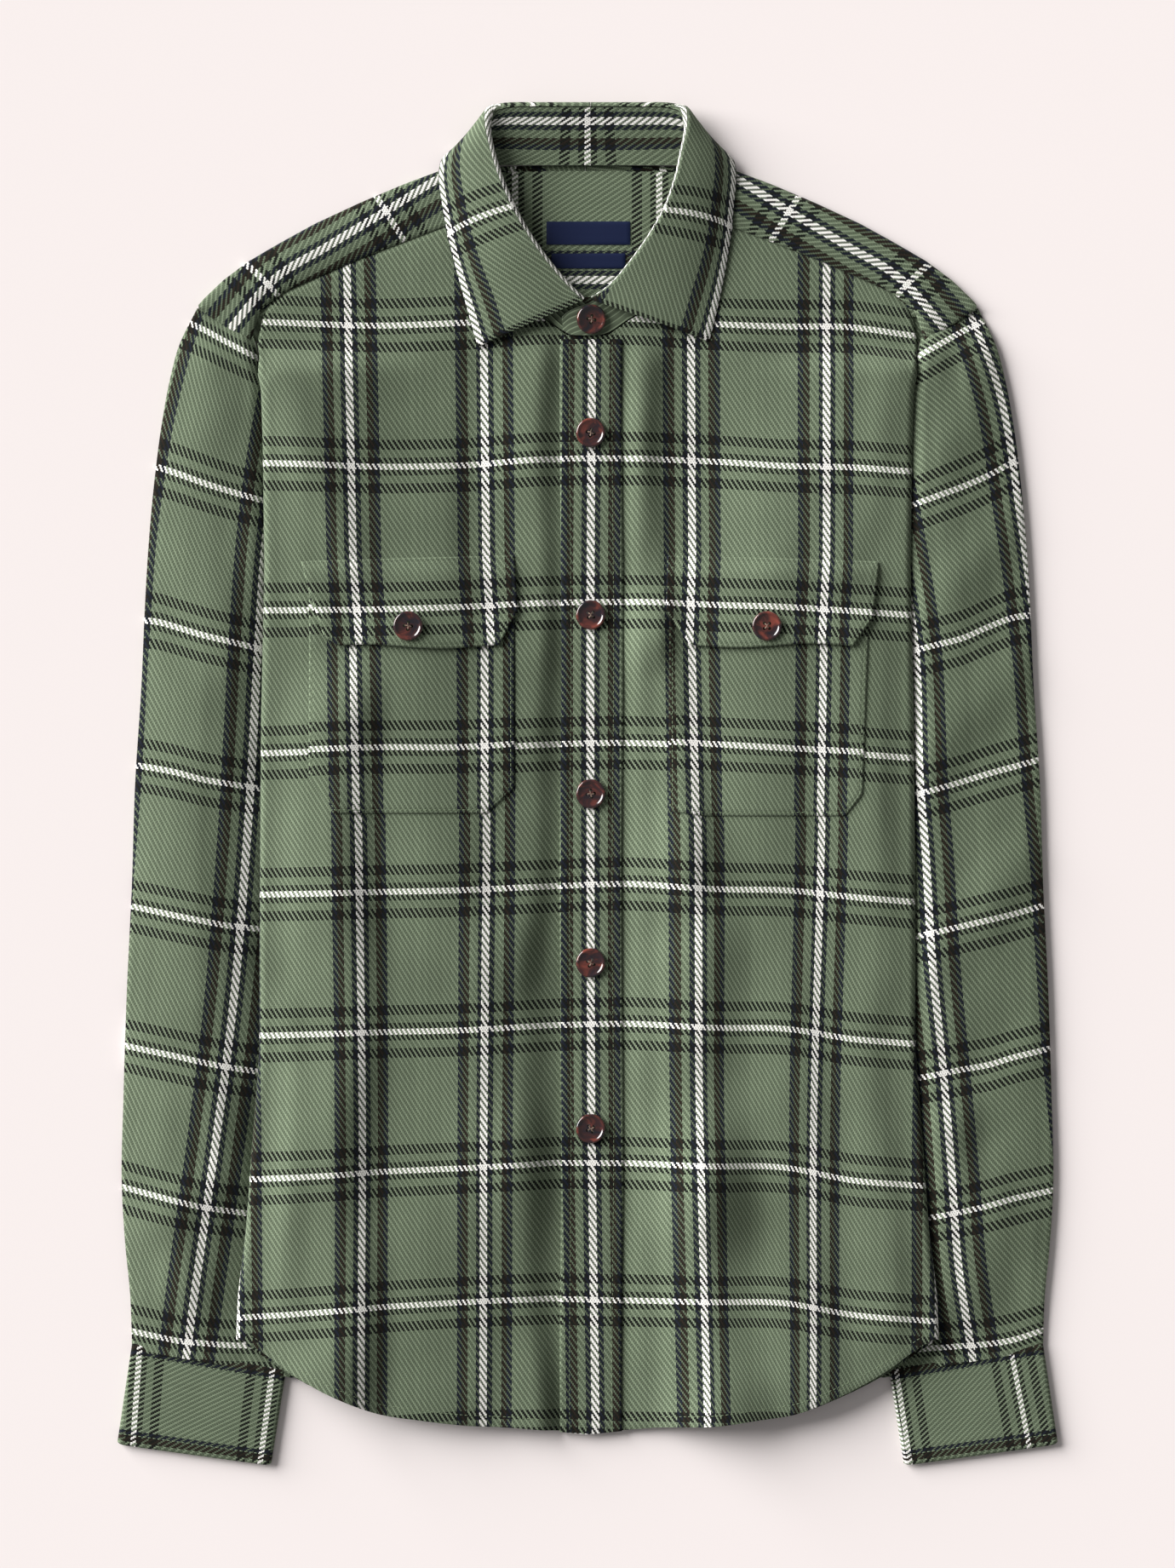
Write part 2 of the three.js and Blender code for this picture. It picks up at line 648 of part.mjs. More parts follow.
// The neck hole goes through both layers at the back and through the front layer at the sides
function cutNeck(solid) {
  const outline = (rows) => [
    ...rows.map(({ x, y }) => [x, y]),
    ...[...rows].reverse().map(({ x, y }) => [-x, y]),
  ];
  const backCut = prism(outline(NECK_CUT_BACK), -CUT_REACH, CUT_REACH);
  const frontCut = prism(outline(NECK_CUT_SIDE), FLOOR_Z + HALF + GAP, CUT_REACH);
  return solid.subtract(backCut).subtract(frontCut);
}

function yokeInsideGrid() {
  const half = YOKE.filter(({ x }) => x <= YOKE_INSIDE_REACH).map(({ x, fold }) => {
    const top = Math.min(fold - YOKE_INSIDE_INSET, NECK_BACK_Y - SEAM);
    return [top, YOKE_INSIDE_FOOT].map((y) => new THREE.Vector3(x, y, YOKE_INSIDE_Z));
  });
  return mirrored(half);
}

// A cuff: a band of doubled cloth laid flat, open at both ends
function cuffGrid(side) {
  const { topOuter, topInner, footInner, footOuter } = CUFF_CORNERS;
  const low = CUFF_WALL / 2;
  const radius = (CUFF_WALL + GAP) / 2;
  const inset = radius + CUFF_WALL / 2;
  const columns = [];
  const addColumn = (across, turn, bulge) => {
    columns.push([0, 0.5, 1].map((along) => {
      const outer = new THREE.Vector2(lerp(topOuter[0], footOuter[0], along),
        lerp(topOuter[1], footOuter[1], along));
      const inner = new THREE.Vector2(lerp(topInner[0], footInner[0], along),
        lerp(topInner[1], footInner[1], along));
      const inward = inner.clone().sub(outer).normalize();
      const span = outer.distanceTo(inner) - 2 * inset;
      const run = inset + across * span + bulge * radius * Math.sin(Math.PI * turn);
      const at = outer.clone().addScaledVector(inward, run);
      return new THREE.Vector3(side * at.x, at.y, low + radius + radius * Math.cos(Math.PI * turn));
    }));
  };
  [0, 0.5, 1].forEach((across) => addColumn(across, 0, 0));
  BEND_QUARTERS.forEach((turn) => addColumn(1, turn, 1));
  [1, 0.5, 0].forEach((across) => addColumn(across, 1, 0));
  [...BEND_QUARTERS].reverse().forEach((turn) => addColumn(0, turn, -1));
  return columns;
}

// The collar stations of one side as vectors, with the outward direction of the stand
function collarSide(side, tab) {
  const vector = ([x, y, z]) => new THREE.Vector3(side * x, y, z);
  return [...COLLAR, ...tab].map(({ neck, roll, edge }) => ({
    neck: vector(neck),
    roll: vector(roll),
    edge: edge ? vector(edge) : null,
  }));
}

function standGrid() {
  const right = collarSide(1, TAB_UPPER);
  const left = collarSide(-1, TAB_LOWER).slice(1).reverse();
  return [...left, ...right].map(({ neck, roll }) => (
    STAND_ROWS.map((t) => neck.clone().lerp(roll, t))
  ));
}

// The leaf starts past the stand's top edge, rolls over and falls to its outer edge
function leafGrid(stand) {
  const middle = COLLAR.length - 1 + TAB_LOWER.length;
  const half = COLLAR.map(({ edge }, i) => {
    const standPoints = stand[middle + i];
    const topRow = standPoints.length - 1;
    const roll = standPoints[topRow];
    const upward = roll.clone().sub(standPoints[0]).normalize();
    const outward = clothNormal(stand, middle + i - 1, middle + i, middle + i + 1, topRow).negate();
    const atCorner = 1 - smooth(0, CORNER_SPREAD, Math.abs(i - CORNER_STATION));
    const radius = COLLAR_ROLL_RADIUS + CORNER_ROLL_EXTRA * atCorner;
    const clear = SEAM + CORNER_ROLL_EXTRA * atCorner;
    const start = roll.clone().addScaledVector(upward, clear + SEAM);
    const points = [roll.clone().addScaledVector(upward, clear)];
    for (const turn of LEAF_TURNS) {
      const angle = Math.PI * turn;
      points.push(start.clone()
        .addScaledVector(upward, radius * Math.sin(angle))
        .addScaledVector(outward, radius * (1 - Math.cos(angle))));
    }
    const fallen = points[points.length - 1].clone();
    const fullness = LEAF_CROWN * smooth(BACK_STATIONS, BACK_STATIONS + 2, i);
    for (const t of LEAF_ROWS) {
      const point = fallen.clone().lerp(new THREE.Vector3(...edge), t);
      point.z += fullness * Math.sin(Math.PI * t);
      points.push(point);
    }
    return points;
  });
  return mirrored(half);
}

// A piece that lies on a panel: the panel's own points, lifted, with its foot corners moved
function overlay(grid, columns, rows, lift, corners = [[0, 0], [0, 0]]) {
  const [i0, i1] = columns;
  const [k0, k1] = rows;
  const points = [];
  for (let i = i0; i <= i1; i += 1) {
    const column = [];
    for (let k = k0; k <= k1; k += 1) {
      const corner = k === k1 ? [i0, i1].indexOf(i) : -1;
      const base = grid[i][k].clone();
      if (corner >= 0) {
        const [inward, up] = corners[corner];
        base.x += inward;
        base.y += up;
        base.z = heightOn(grid, base.x, base.y);
      }
      base.z += lift(k);
      column.push(base);
    }
    points.push(column);
  }
  return points;
}

// A sewn-through button with a rim, a dished middle and four holes
function buttonSolid() {
  const rimInner = BUTTON_RADIUS - BUTTON_RIM;
  const profile = [
    [0, 0],
    [BUTTON_RADIUS, 0],
    [BUTTON_RADIUS, BUTTON_HEIGHT - BUTTON_DISH],
    [BUTTON_RADIUS - BUTTON_DISH, BUTTON_HEIGHT],
    [rimInner, BUTTON_HEIGHT],
    [rimInner - BUTTON_DISH, BUTTON_HEIGHT - BUTTON_DISH],
    [0, BUTTON_HEIGHT - BUTTON_DISH],
  ].map(([x, y]) => new THREE.Vector2(x, y));
  let solid = toSolid(new THREE.LatheGeometry(profile, BUTTON_SIDES).rotateX(Math.PI / 2));
  for (let hole = 0; hole < BUTTON_HOLES; hole += 1) {
    const angle = (2 * Math.PI * (hole + 0.5)) / BUTTON_HOLES;
    const drill = new THREE.CylinderGeometry(BUTTON_HOLE_RADIUS, BUTTON_HOLE_RADIUS,
      CUT_REACH, BUTTON_HOLE_SIDES);
    drill.rotateX(Math.PI / 2);
    drill.translate(BUTTON_HOLE_PITCH * Math.cos(angle), BUTTON_HOLE_PITCH * Math.sin(angle), 0);
    solid = solid.subtract(toSolid(drill));
  }
  return toGeometry(solid);
}

function addButton(name, geometry, grid, x, y) {
  let high = -Infinity;
  for (let step = 0; step < BUTTON_SIDES; step += 1) {
    const angle = (2 * Math.PI * step) / BUTTON_SIDES;
    const height = heightOn(grid, x + BUTTON_RADIUS * Math.cos(angle),
      y + BUTTON_RADIUS * Math.sin(angle));
    high = Math.max(high, height);
  }
  high = Math.max(high, heightOn(grid, x, y));
  const mesh = addPiece(name, geometry.clone(), 'button');
  mesh.position.set(x, y, high + HALF + GAP);
  return mesh;
}

// The collar's button lies square on the stand's end, on its highest points
function seatCollarButton(grid, column) {
  const ends = [grid[column], grid[column + COLLAR_BUTTON_SPAN]];
  const last = ends[0].length - 1;
  const corners = [ends[0][0], ends[0][last], ends[1][last], ends[1][0]];
  const centre = new THREE.Vector3();
  corners.forEach((corner) => centre.addScaledVector(corner, 1 / corners.length));
  const rise = corners[2].clone().sub(corners[0]);
  const normal = rise.cross(corners[3].clone().sub(corners[1])).normalize();
  if (normal.z < 0) normal.negate();
  const reach = COLLAR_BUTTON_REACH * BUTTON_RADIUS;
  const near = grid.flat().filter((point) => point.distanceTo(centre) < reach
    && point.z > centre.z - BUTTON_HEIGHT);
  const lift = Math.max(...near.map((point) => point.clone().sub(centre).dot(normal)));
  const mesh = addPiece('button_collar', button.clone(), 'button');
  mesh.position.copy(centre).addScaledVector(normal, lift + BAND / 2 + GAP);
  mesh.quaternion.setFromUnitVectors(new THREE.Vector3(0, 0, 1), normal);
}

const frontLeft = frontGrid(-1, LEFT_COLUMNS, -LEFT_EDGE_X);
const frontRight = frontGrid(1, RIGHT_COLUMNS, RIGHT_EDGE_X);
const rowOf = (y) => FRONT_ROWS.indexOf(y) + 2;
const lastRow = frontRight[0].length - 1;

addPiece('back', wall(backGrid(), CLOTH), 'flannel');
addPiece('yoke', toGeometry(cutNeck(toSolid(wall(yokeGrid(), CLOTH)))), 'flannelDark');
addPiece('yoke_inside', wall(yokeInsideGrid(), CLOTH), 'flannel');
addPiece('front_left', wall(frontLeft, CLOTH), 'flannel');
addPiece('front_right', wall(frontRight, CLOTH), 'flannel');

const placket = overlay(frontRight, [0, RIGHT_COLUMNS.indexOf(PLACKET_RIGHT_X)], [0, lastRow],
  () => LAYER);
addPiece('placket', wall(placket, CLOTH), 'flannelDark');

for (const [name, side] of [['left', -1], ['right', 1]]) {
  addPiece(`sleeve_${name}`, wall(sleeveGrid(side), CLOTH, { ring: true }), 'flannel');
  addPiece(`cuff_${name}`, wall(cuffGrid(side), CUFF_WALL, { ring: true }), 'flannelDark');
}

const POCKETS = {
  left: { grid: frontLeft, side: -1, from: LEFT_COLUMNS.indexOf(45), to: LEFT_COLUMNS.indexOf(172) },
  right: { grid: frontRight, side: 1, from: RIGHT_COLUMNS.indexOf(50), to: RIGHT_COLUMNS.indexOf(175) },
};
const button = buttonSolid();
const outward = (side, corners) => corners.map(([inward, up]) => [side * inward, up]);
for (const [name, { grid, side, from, to }] of Object.entries(POCKETS)) {
  const pocket = overlay(grid, [from, to], [rowOf(POCKET_TOP_ROW), rowOf(POCKET_FOOT_ROW)],
    () => LAYER, outward(side, POCKET_CORNERS));
  addPiece(`pocket_${name}`, wall(pocket, CLOTH), 'flannel');
  const flap = overlay(grid, [from, to], [rowOf(FLAP_TOP_ROW), rowOf(FLAP_FOOT_ROW)],
    (k) => (k === rowOf(FLAP_TOP_ROW) ? LAYER : 2 * LAYER), outward(side, FLAP_CORNERS));
  addPiece(`flap_${name}`, wall(flap, CLOTH), 'flannel');
  addButton(`button_pocket_${name}`, button, flap, side * FLAP_BUTTON.x, FLAP_BUTTON.y);
}
BUTTON_Y.forEach((y, index) => {
  addButton(`button_front_${index + 1}`, button, placket, BUTTON_X, y);
});

const stand = standGrid();
const leaf = leafGrid(stand);
const standMiddle = COLLAR.length - 1 + TAB_LOWER.length;
addPiece('collar_stand', wall(stand, BAND, { mirroredFrom: standMiddle }), 'flannelDark');
addPiece('collar_leaf', wall(leaf, BAND, { mirroredFrom: COLLAR.length - 1 }), 'flannel');

seatCollarButton(stand, standMiddle + COLLAR.length - 1);

for (const [name, { x, y, width, length }] of Object.entries(LABELS)) {
  const label = addPiece(`label_${name}`, new THREE.BoxGeometry(width, length, LABEL_THICK), 'label');
  label.position.set(x, y, YOKE_INSIDE_Z + HALF + GAP + LABEL_THICK / 2);
}

export default shirt;
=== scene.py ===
import math

import bmesh
import bpy
import numpy as np
from mathutils import Matrix, Vector


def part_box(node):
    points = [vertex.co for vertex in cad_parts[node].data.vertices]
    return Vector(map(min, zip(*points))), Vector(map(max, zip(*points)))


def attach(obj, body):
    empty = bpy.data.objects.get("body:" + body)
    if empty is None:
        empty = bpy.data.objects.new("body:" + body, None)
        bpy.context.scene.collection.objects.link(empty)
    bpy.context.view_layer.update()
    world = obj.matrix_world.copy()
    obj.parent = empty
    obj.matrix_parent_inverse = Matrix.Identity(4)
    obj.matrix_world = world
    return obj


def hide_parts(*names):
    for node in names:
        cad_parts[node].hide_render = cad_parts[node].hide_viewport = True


# A flannel overshirt, buttoned up and laid flat on its back. Tables are in millimetres.
# +Z is up, +Y points to the collar, +X is to the right as seen from above.
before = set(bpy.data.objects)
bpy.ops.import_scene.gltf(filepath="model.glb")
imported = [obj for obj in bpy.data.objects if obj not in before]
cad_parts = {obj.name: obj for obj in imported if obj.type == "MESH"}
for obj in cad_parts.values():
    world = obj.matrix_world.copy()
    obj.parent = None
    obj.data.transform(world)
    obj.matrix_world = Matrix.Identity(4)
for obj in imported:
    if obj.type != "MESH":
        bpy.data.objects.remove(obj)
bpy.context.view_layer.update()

bl_info = {
    "name": "Flannel Overshirt",
    "version": (1, 0, 0),
    "blender": (4, 5, 0),
    "location": "3D View > Sidebar > Overshirt",
    "description": "Sews a checked flannel overshirt that lies flat on its back",
    "category": "Add Mesh",
}

MM = 0.001

# Cloth and layers
CLOTH = 1.2
BAND = 2.2
GAP = 0.3
LAYER = CLOTH + GAP
SEAM = 0.5
HALF = CLOTH / 2
FLOOR_Z = HALF
YOKE_INSIDE_Z = FLOOR_Z + LAYER
YOKE_FRONT_Z = YOKE_INSIDE_Z + LAYER
FRONT_MID_Z = FLOOR_Z + LAYER
SLEEVE_HIDDEN_Z = FLOOR_Z + LAYER
STRIP_Z = SLEEVE_HIDDEN_Z + LAYER
ROLL_RADIUS = 2.4 * LAYER
ROLL_INSET = HALF + ROLL_RADIUS
TURN_WIDTH = 75
TURN_TOP_Y = 242
TURN_LEAST = 3
UNDERARM_Y = 60

# Half widths and edges of the laid shirt, the same on both sides
OUTER = (
    (283, 238), (257, 250), (242, 254), (210, 260), (179, 264), (148, 267), (101, 270), (55, 272),
    (-8, 276), (-70, 278), (-133, 281), (-195, 283), (-257, 284), (-289, 282), (-320, 279),
    (-350, 278),
)
BODY_SIDE = (
    (261, 206), (252, 203), (232, 199), (200, 198), (125, 197), (30, 199), (-110, 200),
    (-170, 200), (-235, 205), (-278, 208), (-320, 213), (-346, 214),
)
HEM = (
    (0, -404), (45, -400), (80, -398), (104, -395), (130, -391), (153, -382), (166, -376),
    (187, -364), (201, -354), (214, -346),
)
FRONT_TOP = (
    (13, 266), (26, 275), (43, 285), (60, 301), (69, 322), (75, 337), (88, 333), (138, 314),
    (166, 302), (186, 293), (199, 283), (203, 274), (206, 261),
)
# Yoke columns: x, shoulder fold, front seam, back seam
YOKE = (
    (0, 372, 340, 270), (40, 371.5, 340, 270), (75, 370.5, 337, 269.5), (88, 367, 333, 269),
    (112, 358, 324, 268), (138, 347, 314, 267), (166, 334, 302, 265.5), (186, 323, 293, 264),
    (199, 315.5, 283, 262.5), (203, 313, 274, 262), (206, 311.5, 262, 261.5),
    (222, 299.5, 273, 273), (234, 288, 281, 281), (237, 284.5, 282.5, 282.5),
)
NECK_HALF = 78.5
NECK_BACK_Y = 368

# Folds of the fronts, from one end to the other: width on the left, on the right, and height
FRONT_FOLDS = (
    (-30, 245, -31, 70, 20, 8, 3.8), (-30, 30, -41, -120, 22, 8, 4.0),
    (-43, -120, -44, -240, 24, 10, 3.6), (-40, -230, -31, -415, 26, 9, 6.4),
    (-108, 70, -112, -130, 22, 18, 1.8),
    (-192, 238, -148, 128, 12, 13, 3), (-197, 205, -163, 96, 9, 10, 1.6),
    (-150, 25, -150, -420, 26, 15, 8.0), (-72, -40, -72, -385, 26, 10, 2.4),
    (-186, -150, -181, -335, 14, 9, 2), (-86, 250, -84, 130, 22, 9, 1.4),
    (36, 245, 40, 80, 14, 7, 3.6), (46, 80, 58, -60, 20, 12, 4.6),
    (60, -60, 67, -250, 22, 19, 7.0), (67, -250, 80, -425, 24, 20, 9.2),
    (112, 110, 108, -75, 20, 16, 1.8),
    (124, -130, 136, -365, 22, 14, 2.6), (192, 238, 158, 120, 13, 10, 1.4),
    (178, 65, 182, -125, 22, 10, 2.6), (170, -160, 184, -330, 14, 11, 2),
    (92, 250, 100, 160, 16, 16, 1.5),
)
SLEEVE_FOLDS = (
    (262, 60, 214, 10, 13, 13, 1.7), (268, -60, 216, -110, 13, 13, 1.9),
    (272, -170, 222, -215, 12, 12, 1.8), (268, -280, 226, -250, 11, 11, 1.6),
    (234, 200, 226, 60, 12, 16, 1.8), (246, -10, 240, -140, 12, 15, 1.6),
    (240, 262, 216, 190, 10, 12, 1.6), (258, -215, 240, -335, 10, 12, 1.5),
    (262, 150, 222, 108, 11, 12, 1.2),
)

# Where the white lines of the check lie on the pieces: first across (at heights y) ...
WARP_Y = (262.6, 106.6, -49.4, -205.4, -361.4)
LEFT_WARPS = (
    (-222, -217, -216, -215, -213), (-146.1, -142.5, -139.4, -137.3, -137.8),
    (-62.9, -61.4, -61.4, -62.9, -63.4), (21, 22, 22, 21, 20),
)
RIGHT_WARPS = (
    (-20, -19, -18, -17, -15), (62.9, 64, 67.1, 68.1, 72.3), (146.1, 145.6, 142.5, 137.8, 137.3),
    (223, 221, 218, 214, 213),
)
PLACKET_WARPS = ((-81.4, -82.4, -82.4, -81.9, -79.8), (2.6, 1.6, 1.6, 2.1, 4.2))
SLEEVE_WARP_Y = (273, 241.8, 151.8, 75.9, -10.4, -49.4, -117, -179.4, -241.8, -304.2, -350)
LEFT_SLEEVE_WARPS = (
    (-252, -262, -279, -285, -290, -293, -298, -304, -312, -321, -327),
    (-176, -182, -195.5, -201.2, -205.9, -208.5, -213.7, -220.5, -228.8, -237.6, -243.9),
)
RIGHT_SLEEVE_WARPS = (
    (164, 170, 188, 200, 203, 206, 210, 216.3, 221.5, 226.2, 233.5),
    (235.6, 247.5, 264, 273.5, 281.5, 285.5, 290, 294, 301, 308, 315),
)
# ... and then along (at places x)
BODY_WEFT_X = (-192.4, -124.8, -78.0, -26.0, 26.0, 83.2, 119.6, 161.2, 192.4)
BODY_WEFTS = (
    (273.5, 271.4, 273.0, 276.1, 275.6, 272.0, 270.9, 270.4, 266.2),
    (186.7, 184.6, 185.6, 189.3, 189.8, 187.7, 185.1, 184.1, 182.0),
    (97.8, 98.3, 99.8, 102.4, 103.0, 100.9, 99.8, 97.2, 95.2),
    (10.4, 12.5, 12.5, 15.6, 16.6, 14.0, 12.0, 9.9, 7.8),
    (-74.9, -73.3, -72.3, -70.2, -68.6, -71.8, -72.3, -76.4, -79.0),
    (-161.2, -159.1, -158.1, -155.5, -154.4, -156.5, -157.0, -163.3, -165.9),
    (-247.5, -243.4, -241.3, -238.7, -238.7, -239.7, -240.8, -248.6, -251.2),
    (-331.2, -326.0, -323.4, -321.9, -322.9, -322.9, -323.4, -330.7, -333.3),
)
LEFT_SLEEVE_WEFT_X = (-273.0, -262.6, -249.6, -234.0, -221.0, -208.0)
LEFT_SLEEVE_WEFTS = (
    (287.6, 282.4, 276.1, 268.8, 261.6, 254.8), (187.2, 184.6, 180.4, 174.7, 170.6, 166.9),
    (92.0, 91.0, 87.4, 82.7, 79.6, 76.4), (2.6, 1.0, -1.6, -5.7, -7.8, -9.9),
    (-83.2, -85.3, -87.9, -91.0, -93.6, -95.2), (-169.5, -171.6, -174.2, -177.8, -180.4, -182.5),
    (-255.8, -258.4, -261.6, -265.2, -267.3, -269.4),
    (-342.7, -344.8, -347.4, -348.9, -350.0, -350.5),
)
RIGHT_SLEEVE_WEFT_X = (210.6, 228.8, 244.4, 260.0, 273.0)
RIGHT_SLEEVE_WEFTS = (
    (257.4, 267.8, 275.6, 283.4, 288.6), (165.9, 172.6, 179.4, 187.7, 192.4),
    (76.4, 81.1, 87.9, 93.6, 95.2), (-12.0, -6.8, -2.1, 2.1, 5.7),
    (-98.3, -94.1, -90.5, -86.8, -83.2), (-185.6, -182.0, -179.4, -174.7, -171.6),
    (-271.4, -267.8, -264.2, -260.0, -257.4), (-352.0, -350.5, -349.4, -346.8, -342.7),
)
YOKE_STRIPE = ((75, 370), (90, 361.7), (123, 341.4), (158, 320.4), (194.5, 296.9), (217.6, 270))
YOKE_CROSSING_X = 123
WARP_PITCH = 84
WEFT_PITCH = 85


def srgb(text, alpha=1.0):
    """A hex colour as it is read on a screen, turned to linear light."""
    parts = [int(text[i : i + 2], 16) / 255 for i in (0, 2, 4)]
    light = [c / 12.92 if c <= 0.04045 else ((c + 0.055) / 1.055) ** 2.4 for c in parts]
    return (*light, alpha)


def colour_property(name, description, text):
    return bpy.props.FloatVectorProperty(
        name=name, description=description, size=4, subtype="COLOR", default=srgb(text))


def length_property(name, description, millimetres):
    return bpy.props.FloatProperty(
        name=name, description=description, default=millimetres * MM, subtype="DISTANCE",
        unit="LENGTH")


class OvershirtCloth(bpy.types.PropertyGroup):
    """Threads of the checked flannel."""

    ground_warp: colour_property("Ground warp", "Sage threads that run up the body", "717E68")
    # Ground weft: its darker sage is partly the yarn's colour and partly painted shade that draws
    # the twill's diagonal lines
    ground_weft: colour_property(
        "Ground weft", "Slightly deeper sage threads that run across", "525D4B")
    white: colour_property("White", "Bleached threads of the thin lines", "E4E3DF")
    navy: colour_property("Navy", "Dark blue threads beside the lines", "121722")
    brown: colour_property("Brown", "Brown-black threads of the outer bands", "1F1912")
    black: colour_property("Black", "Near-black weft threads", "0E120D")
    warp_thread: length_property("Warp pitch", "Width of one warp thread", 0.81)
    weft_thread: length_property("Weft pitch", "Width of one weft thread", 1.19)
    fold_share: bpy.props.FloatProperty(
        name="Folds", description="Height of the folds against the shirt as laid", default=1.0,
        subtype="FACTOR")


class OvershirtTrims(bpy.types.PropertyGroup):
    """Thread, buttons and labels."""

    stitch_pitch: length_property("Stitch pitch", "From one stitch to the next", 2.9)
    stitch_length: length_property("Stitch length", "Length of one stitch", 2.2)
    stitch_radius: length_property(
        "Stitch radius", "Half the thickness of the sewing thread", 0.26)
    stitch_colour: colour_property("Sewing thread", "Colour of the seams' thread", "66755A")
    button_radius: length_property("Button radius", "Half the width of a button", 9)
    button_height: length_property("Button height", "Thickness of a button", 2.6)
    label_colour: colour_property("Labels", "Colour of the bare labels", "0B183A")


class OvershirtStage(bpy.types.PropertyGroup):
    """Floor, light and camera."""

    floor_colour: colour_property("Floor", "Colour of the pale floor", "E7E0E0")
    key_strength: bpy.props.FloatProperty(
        name="Key light", description="Strength of the light from the upper left", default=9.0)
    room_strength: bpy.props.FloatProperty(
        name="Room light", description="Strength of the light from all round", default=0.26)
    camera_height: bpy.props.FloatProperty(
        name="Camera height", description="Height of the camera over the shirt", default=3.4,
        subtype="DISTANCE", unit="LENGTH")
    view_width: bpy.props.FloatProperty(
        name="View width", description="Width of floor that the picture takes in",
        default=0.7176, subtype="DISTANCE", unit="LENGTH")


# ---- measures ----


def lerp(a, b, t):
    return a + (b - a) * t


def ease(start, end, value):
    t = np.clip((value - start) / (end - start), 0, 1)
    return t * t * (3 - 2 * t)


def read(rows, at, column=1):
    """A value between the rows of a table, by straight lines."""
    rows = np.array(sorted(rows), float)
    return np.interp(at, rows[:, 0], rows[:, column])


def flow(places, values, at):
    """A value between the rows of a table, along a smooth curve that runs on at its ends."""
    order = np.argsort(places)
    xs = np.array(places, float)[order]
    ys = np.array(values, float)[order]
    slopes = np.gradient(ys, xs)
    at = np.asarray(at, float)
    i = np.clip(np.searchsorted(xs, at) - 1, 0, len(xs) - 2)
    width = xs[i + 1] - xs[i]
    t = np.clip((at - xs[i]) / width, 0, 1)
    inside = (
        (1 + 2 * t) * (1 - t) ** 2 * ys[i] + t * (1 - t) ** 2 * width * slopes[i]
        + t * t * (3 - 2 * t) * ys[i + 1] - t * t * (1 - t) * width * slopes[i + 1]
    )
    before = np.minimum(at - xs[0], 0) * slopes[0]
    after = np.maximum(at - xs[-1], 0) * slopes[-1]
    return inside + before + after


def body_side(y):
    return read(BODY_SIDE, y)


def roll_start(y):
    """Where a panel's side starts to roll under."""
    return body_side(y) - ROLL_INSET


def hem_y(x):
    return flow(*zip(*HEM), x)


def turn_width(y):
    return np.maximum(TURN_WIDTH * ease(TURN_TOP_Y, UNDERARM_Y, y), TURN_LEAST)


def side_lift(y):
    """Extra height of the turned sides over the sleeve's seam and over the cuff."""
    return 1.2 * ease(190, TURN_TOP_Y, y) + 2.4 * ease(-225, -305, y)


def fold_height(folds, x, y, side=1):
    """Height of listed folds, each with its own width on the left and on the right."""
    total = np.zeros(np.broadcast(x, y).shape)
    for number, (x0, y0, x1, y1, left, right, height) in enumerate(folds):
        run_x, run_y = side * (x1 - x0), y1 - y0
        length = math.hypot(run_x, run_y)
        run_x, run_y = run_x / length, run_y / length
        to_x, to_y = x - side * x0, y - y0
        run = to_x * run_x + to_y * run_y
        off = to_y * run_x - to_x * run_y
        off = off + 3.2 * np.sin(run / 31 + 1.7 * number)
        west = off * -np.sign(run_y) < 0
        width = np.where(west, left if side > 0 else right, right if side > 0 else left)
        past = np.maximum(np.maximum(-run, run - length), 0)
        uneven = 1 + 0.25 * np.sin(run / 23 + 2.3 * number)
        across = ease(0, 1, 1 - np.abs(off) / (2 * width))
        end = ease(0, 1, 1 - past / (2.5 * (left + right) / 2))
        total = total + height * across * end * uneven
    return total * bpy.context.scene.overshirt_cloth.fold_share


def ripple(x, y, size, seed):
    """Low waves with no direction of their own, so that laid cloth isn't dead flat."""
    spins = np.random.default_rng(seed).uniform(0, 2 * math.pi, (7, 2))
    total = 0
    for step, (turn, phase) in enumerate(spins):
        wave = 52 + 19 * step
        along = x * math.cos(turn) + y * math.sin(turn)
        total = total + np.sin(2 * math.pi * along / wave + phase)
    return size * total / len(spins)


def front_edge_height(y):
    """Height of a front where its side starts to roll."""
    top = BODY_SIDE[0][0]
    stacked = STRIP_Z + 2 * ROLL_RADIUS + side_lift(y)
    return lerp(YOKE_FRONT_Z, stacked, ease(top, top - 20, y))


def front_height(side, x, y):
    """Height of a front's cloth; x is towards its own side."""
    middle = lerp(FRONT_MID_Z, YOKE_FRONT_Z, ease(226, 262, y))
    overlapped = LAYER * (1 - ease(31, 44, x)) if side > 0 else 0
    inward = roll_start(y) - x
    start = turn_width(y) + 20
    dome = 1 - ease(start, start + 92, inward)
    shoulder = np.where(y > BODY_SIDE[0][0], YOKE_FRONT_Z, front_edge_height(y))
    calm = ease(0, 26, inward) * ease(0, 22, read(FRONT_TOP, x) - y)
    waves = (0.5 + ripple(side * x, y, 1.1, 5)) * calm
    folds = fold_height(FRONT_FOLDS, side * x, y) * ease(-6, 22, inward)
    flat = ease(20, 32, np.abs(x)) if side > 0 else ease(15, 27, x)
    return middle + overlapped + dome * (shoulder - middle) + (folds + waves) * flat


def check_place(lines, places, at, along, pitch, falling):
    """How far a point is along the cut cloth, from the white lines that it lies between.
    lines holds one row of places for each line; the first line is at 0."""
    edges = [flow(places, row, at) for row in lines]
    total = np.zeros(np.broadcast(at, along).shape)
    for n in range(len(edges) - 1):
        share = (along - edges[n]) / (edges[n + 1] - edges[n])
        low = -np.inf if n == 0 else 0
        high = np.inf if n == len(edges) - 2 else 1
        total = total + pitch * np.clip(share, low, high)
    return -total if falling else total


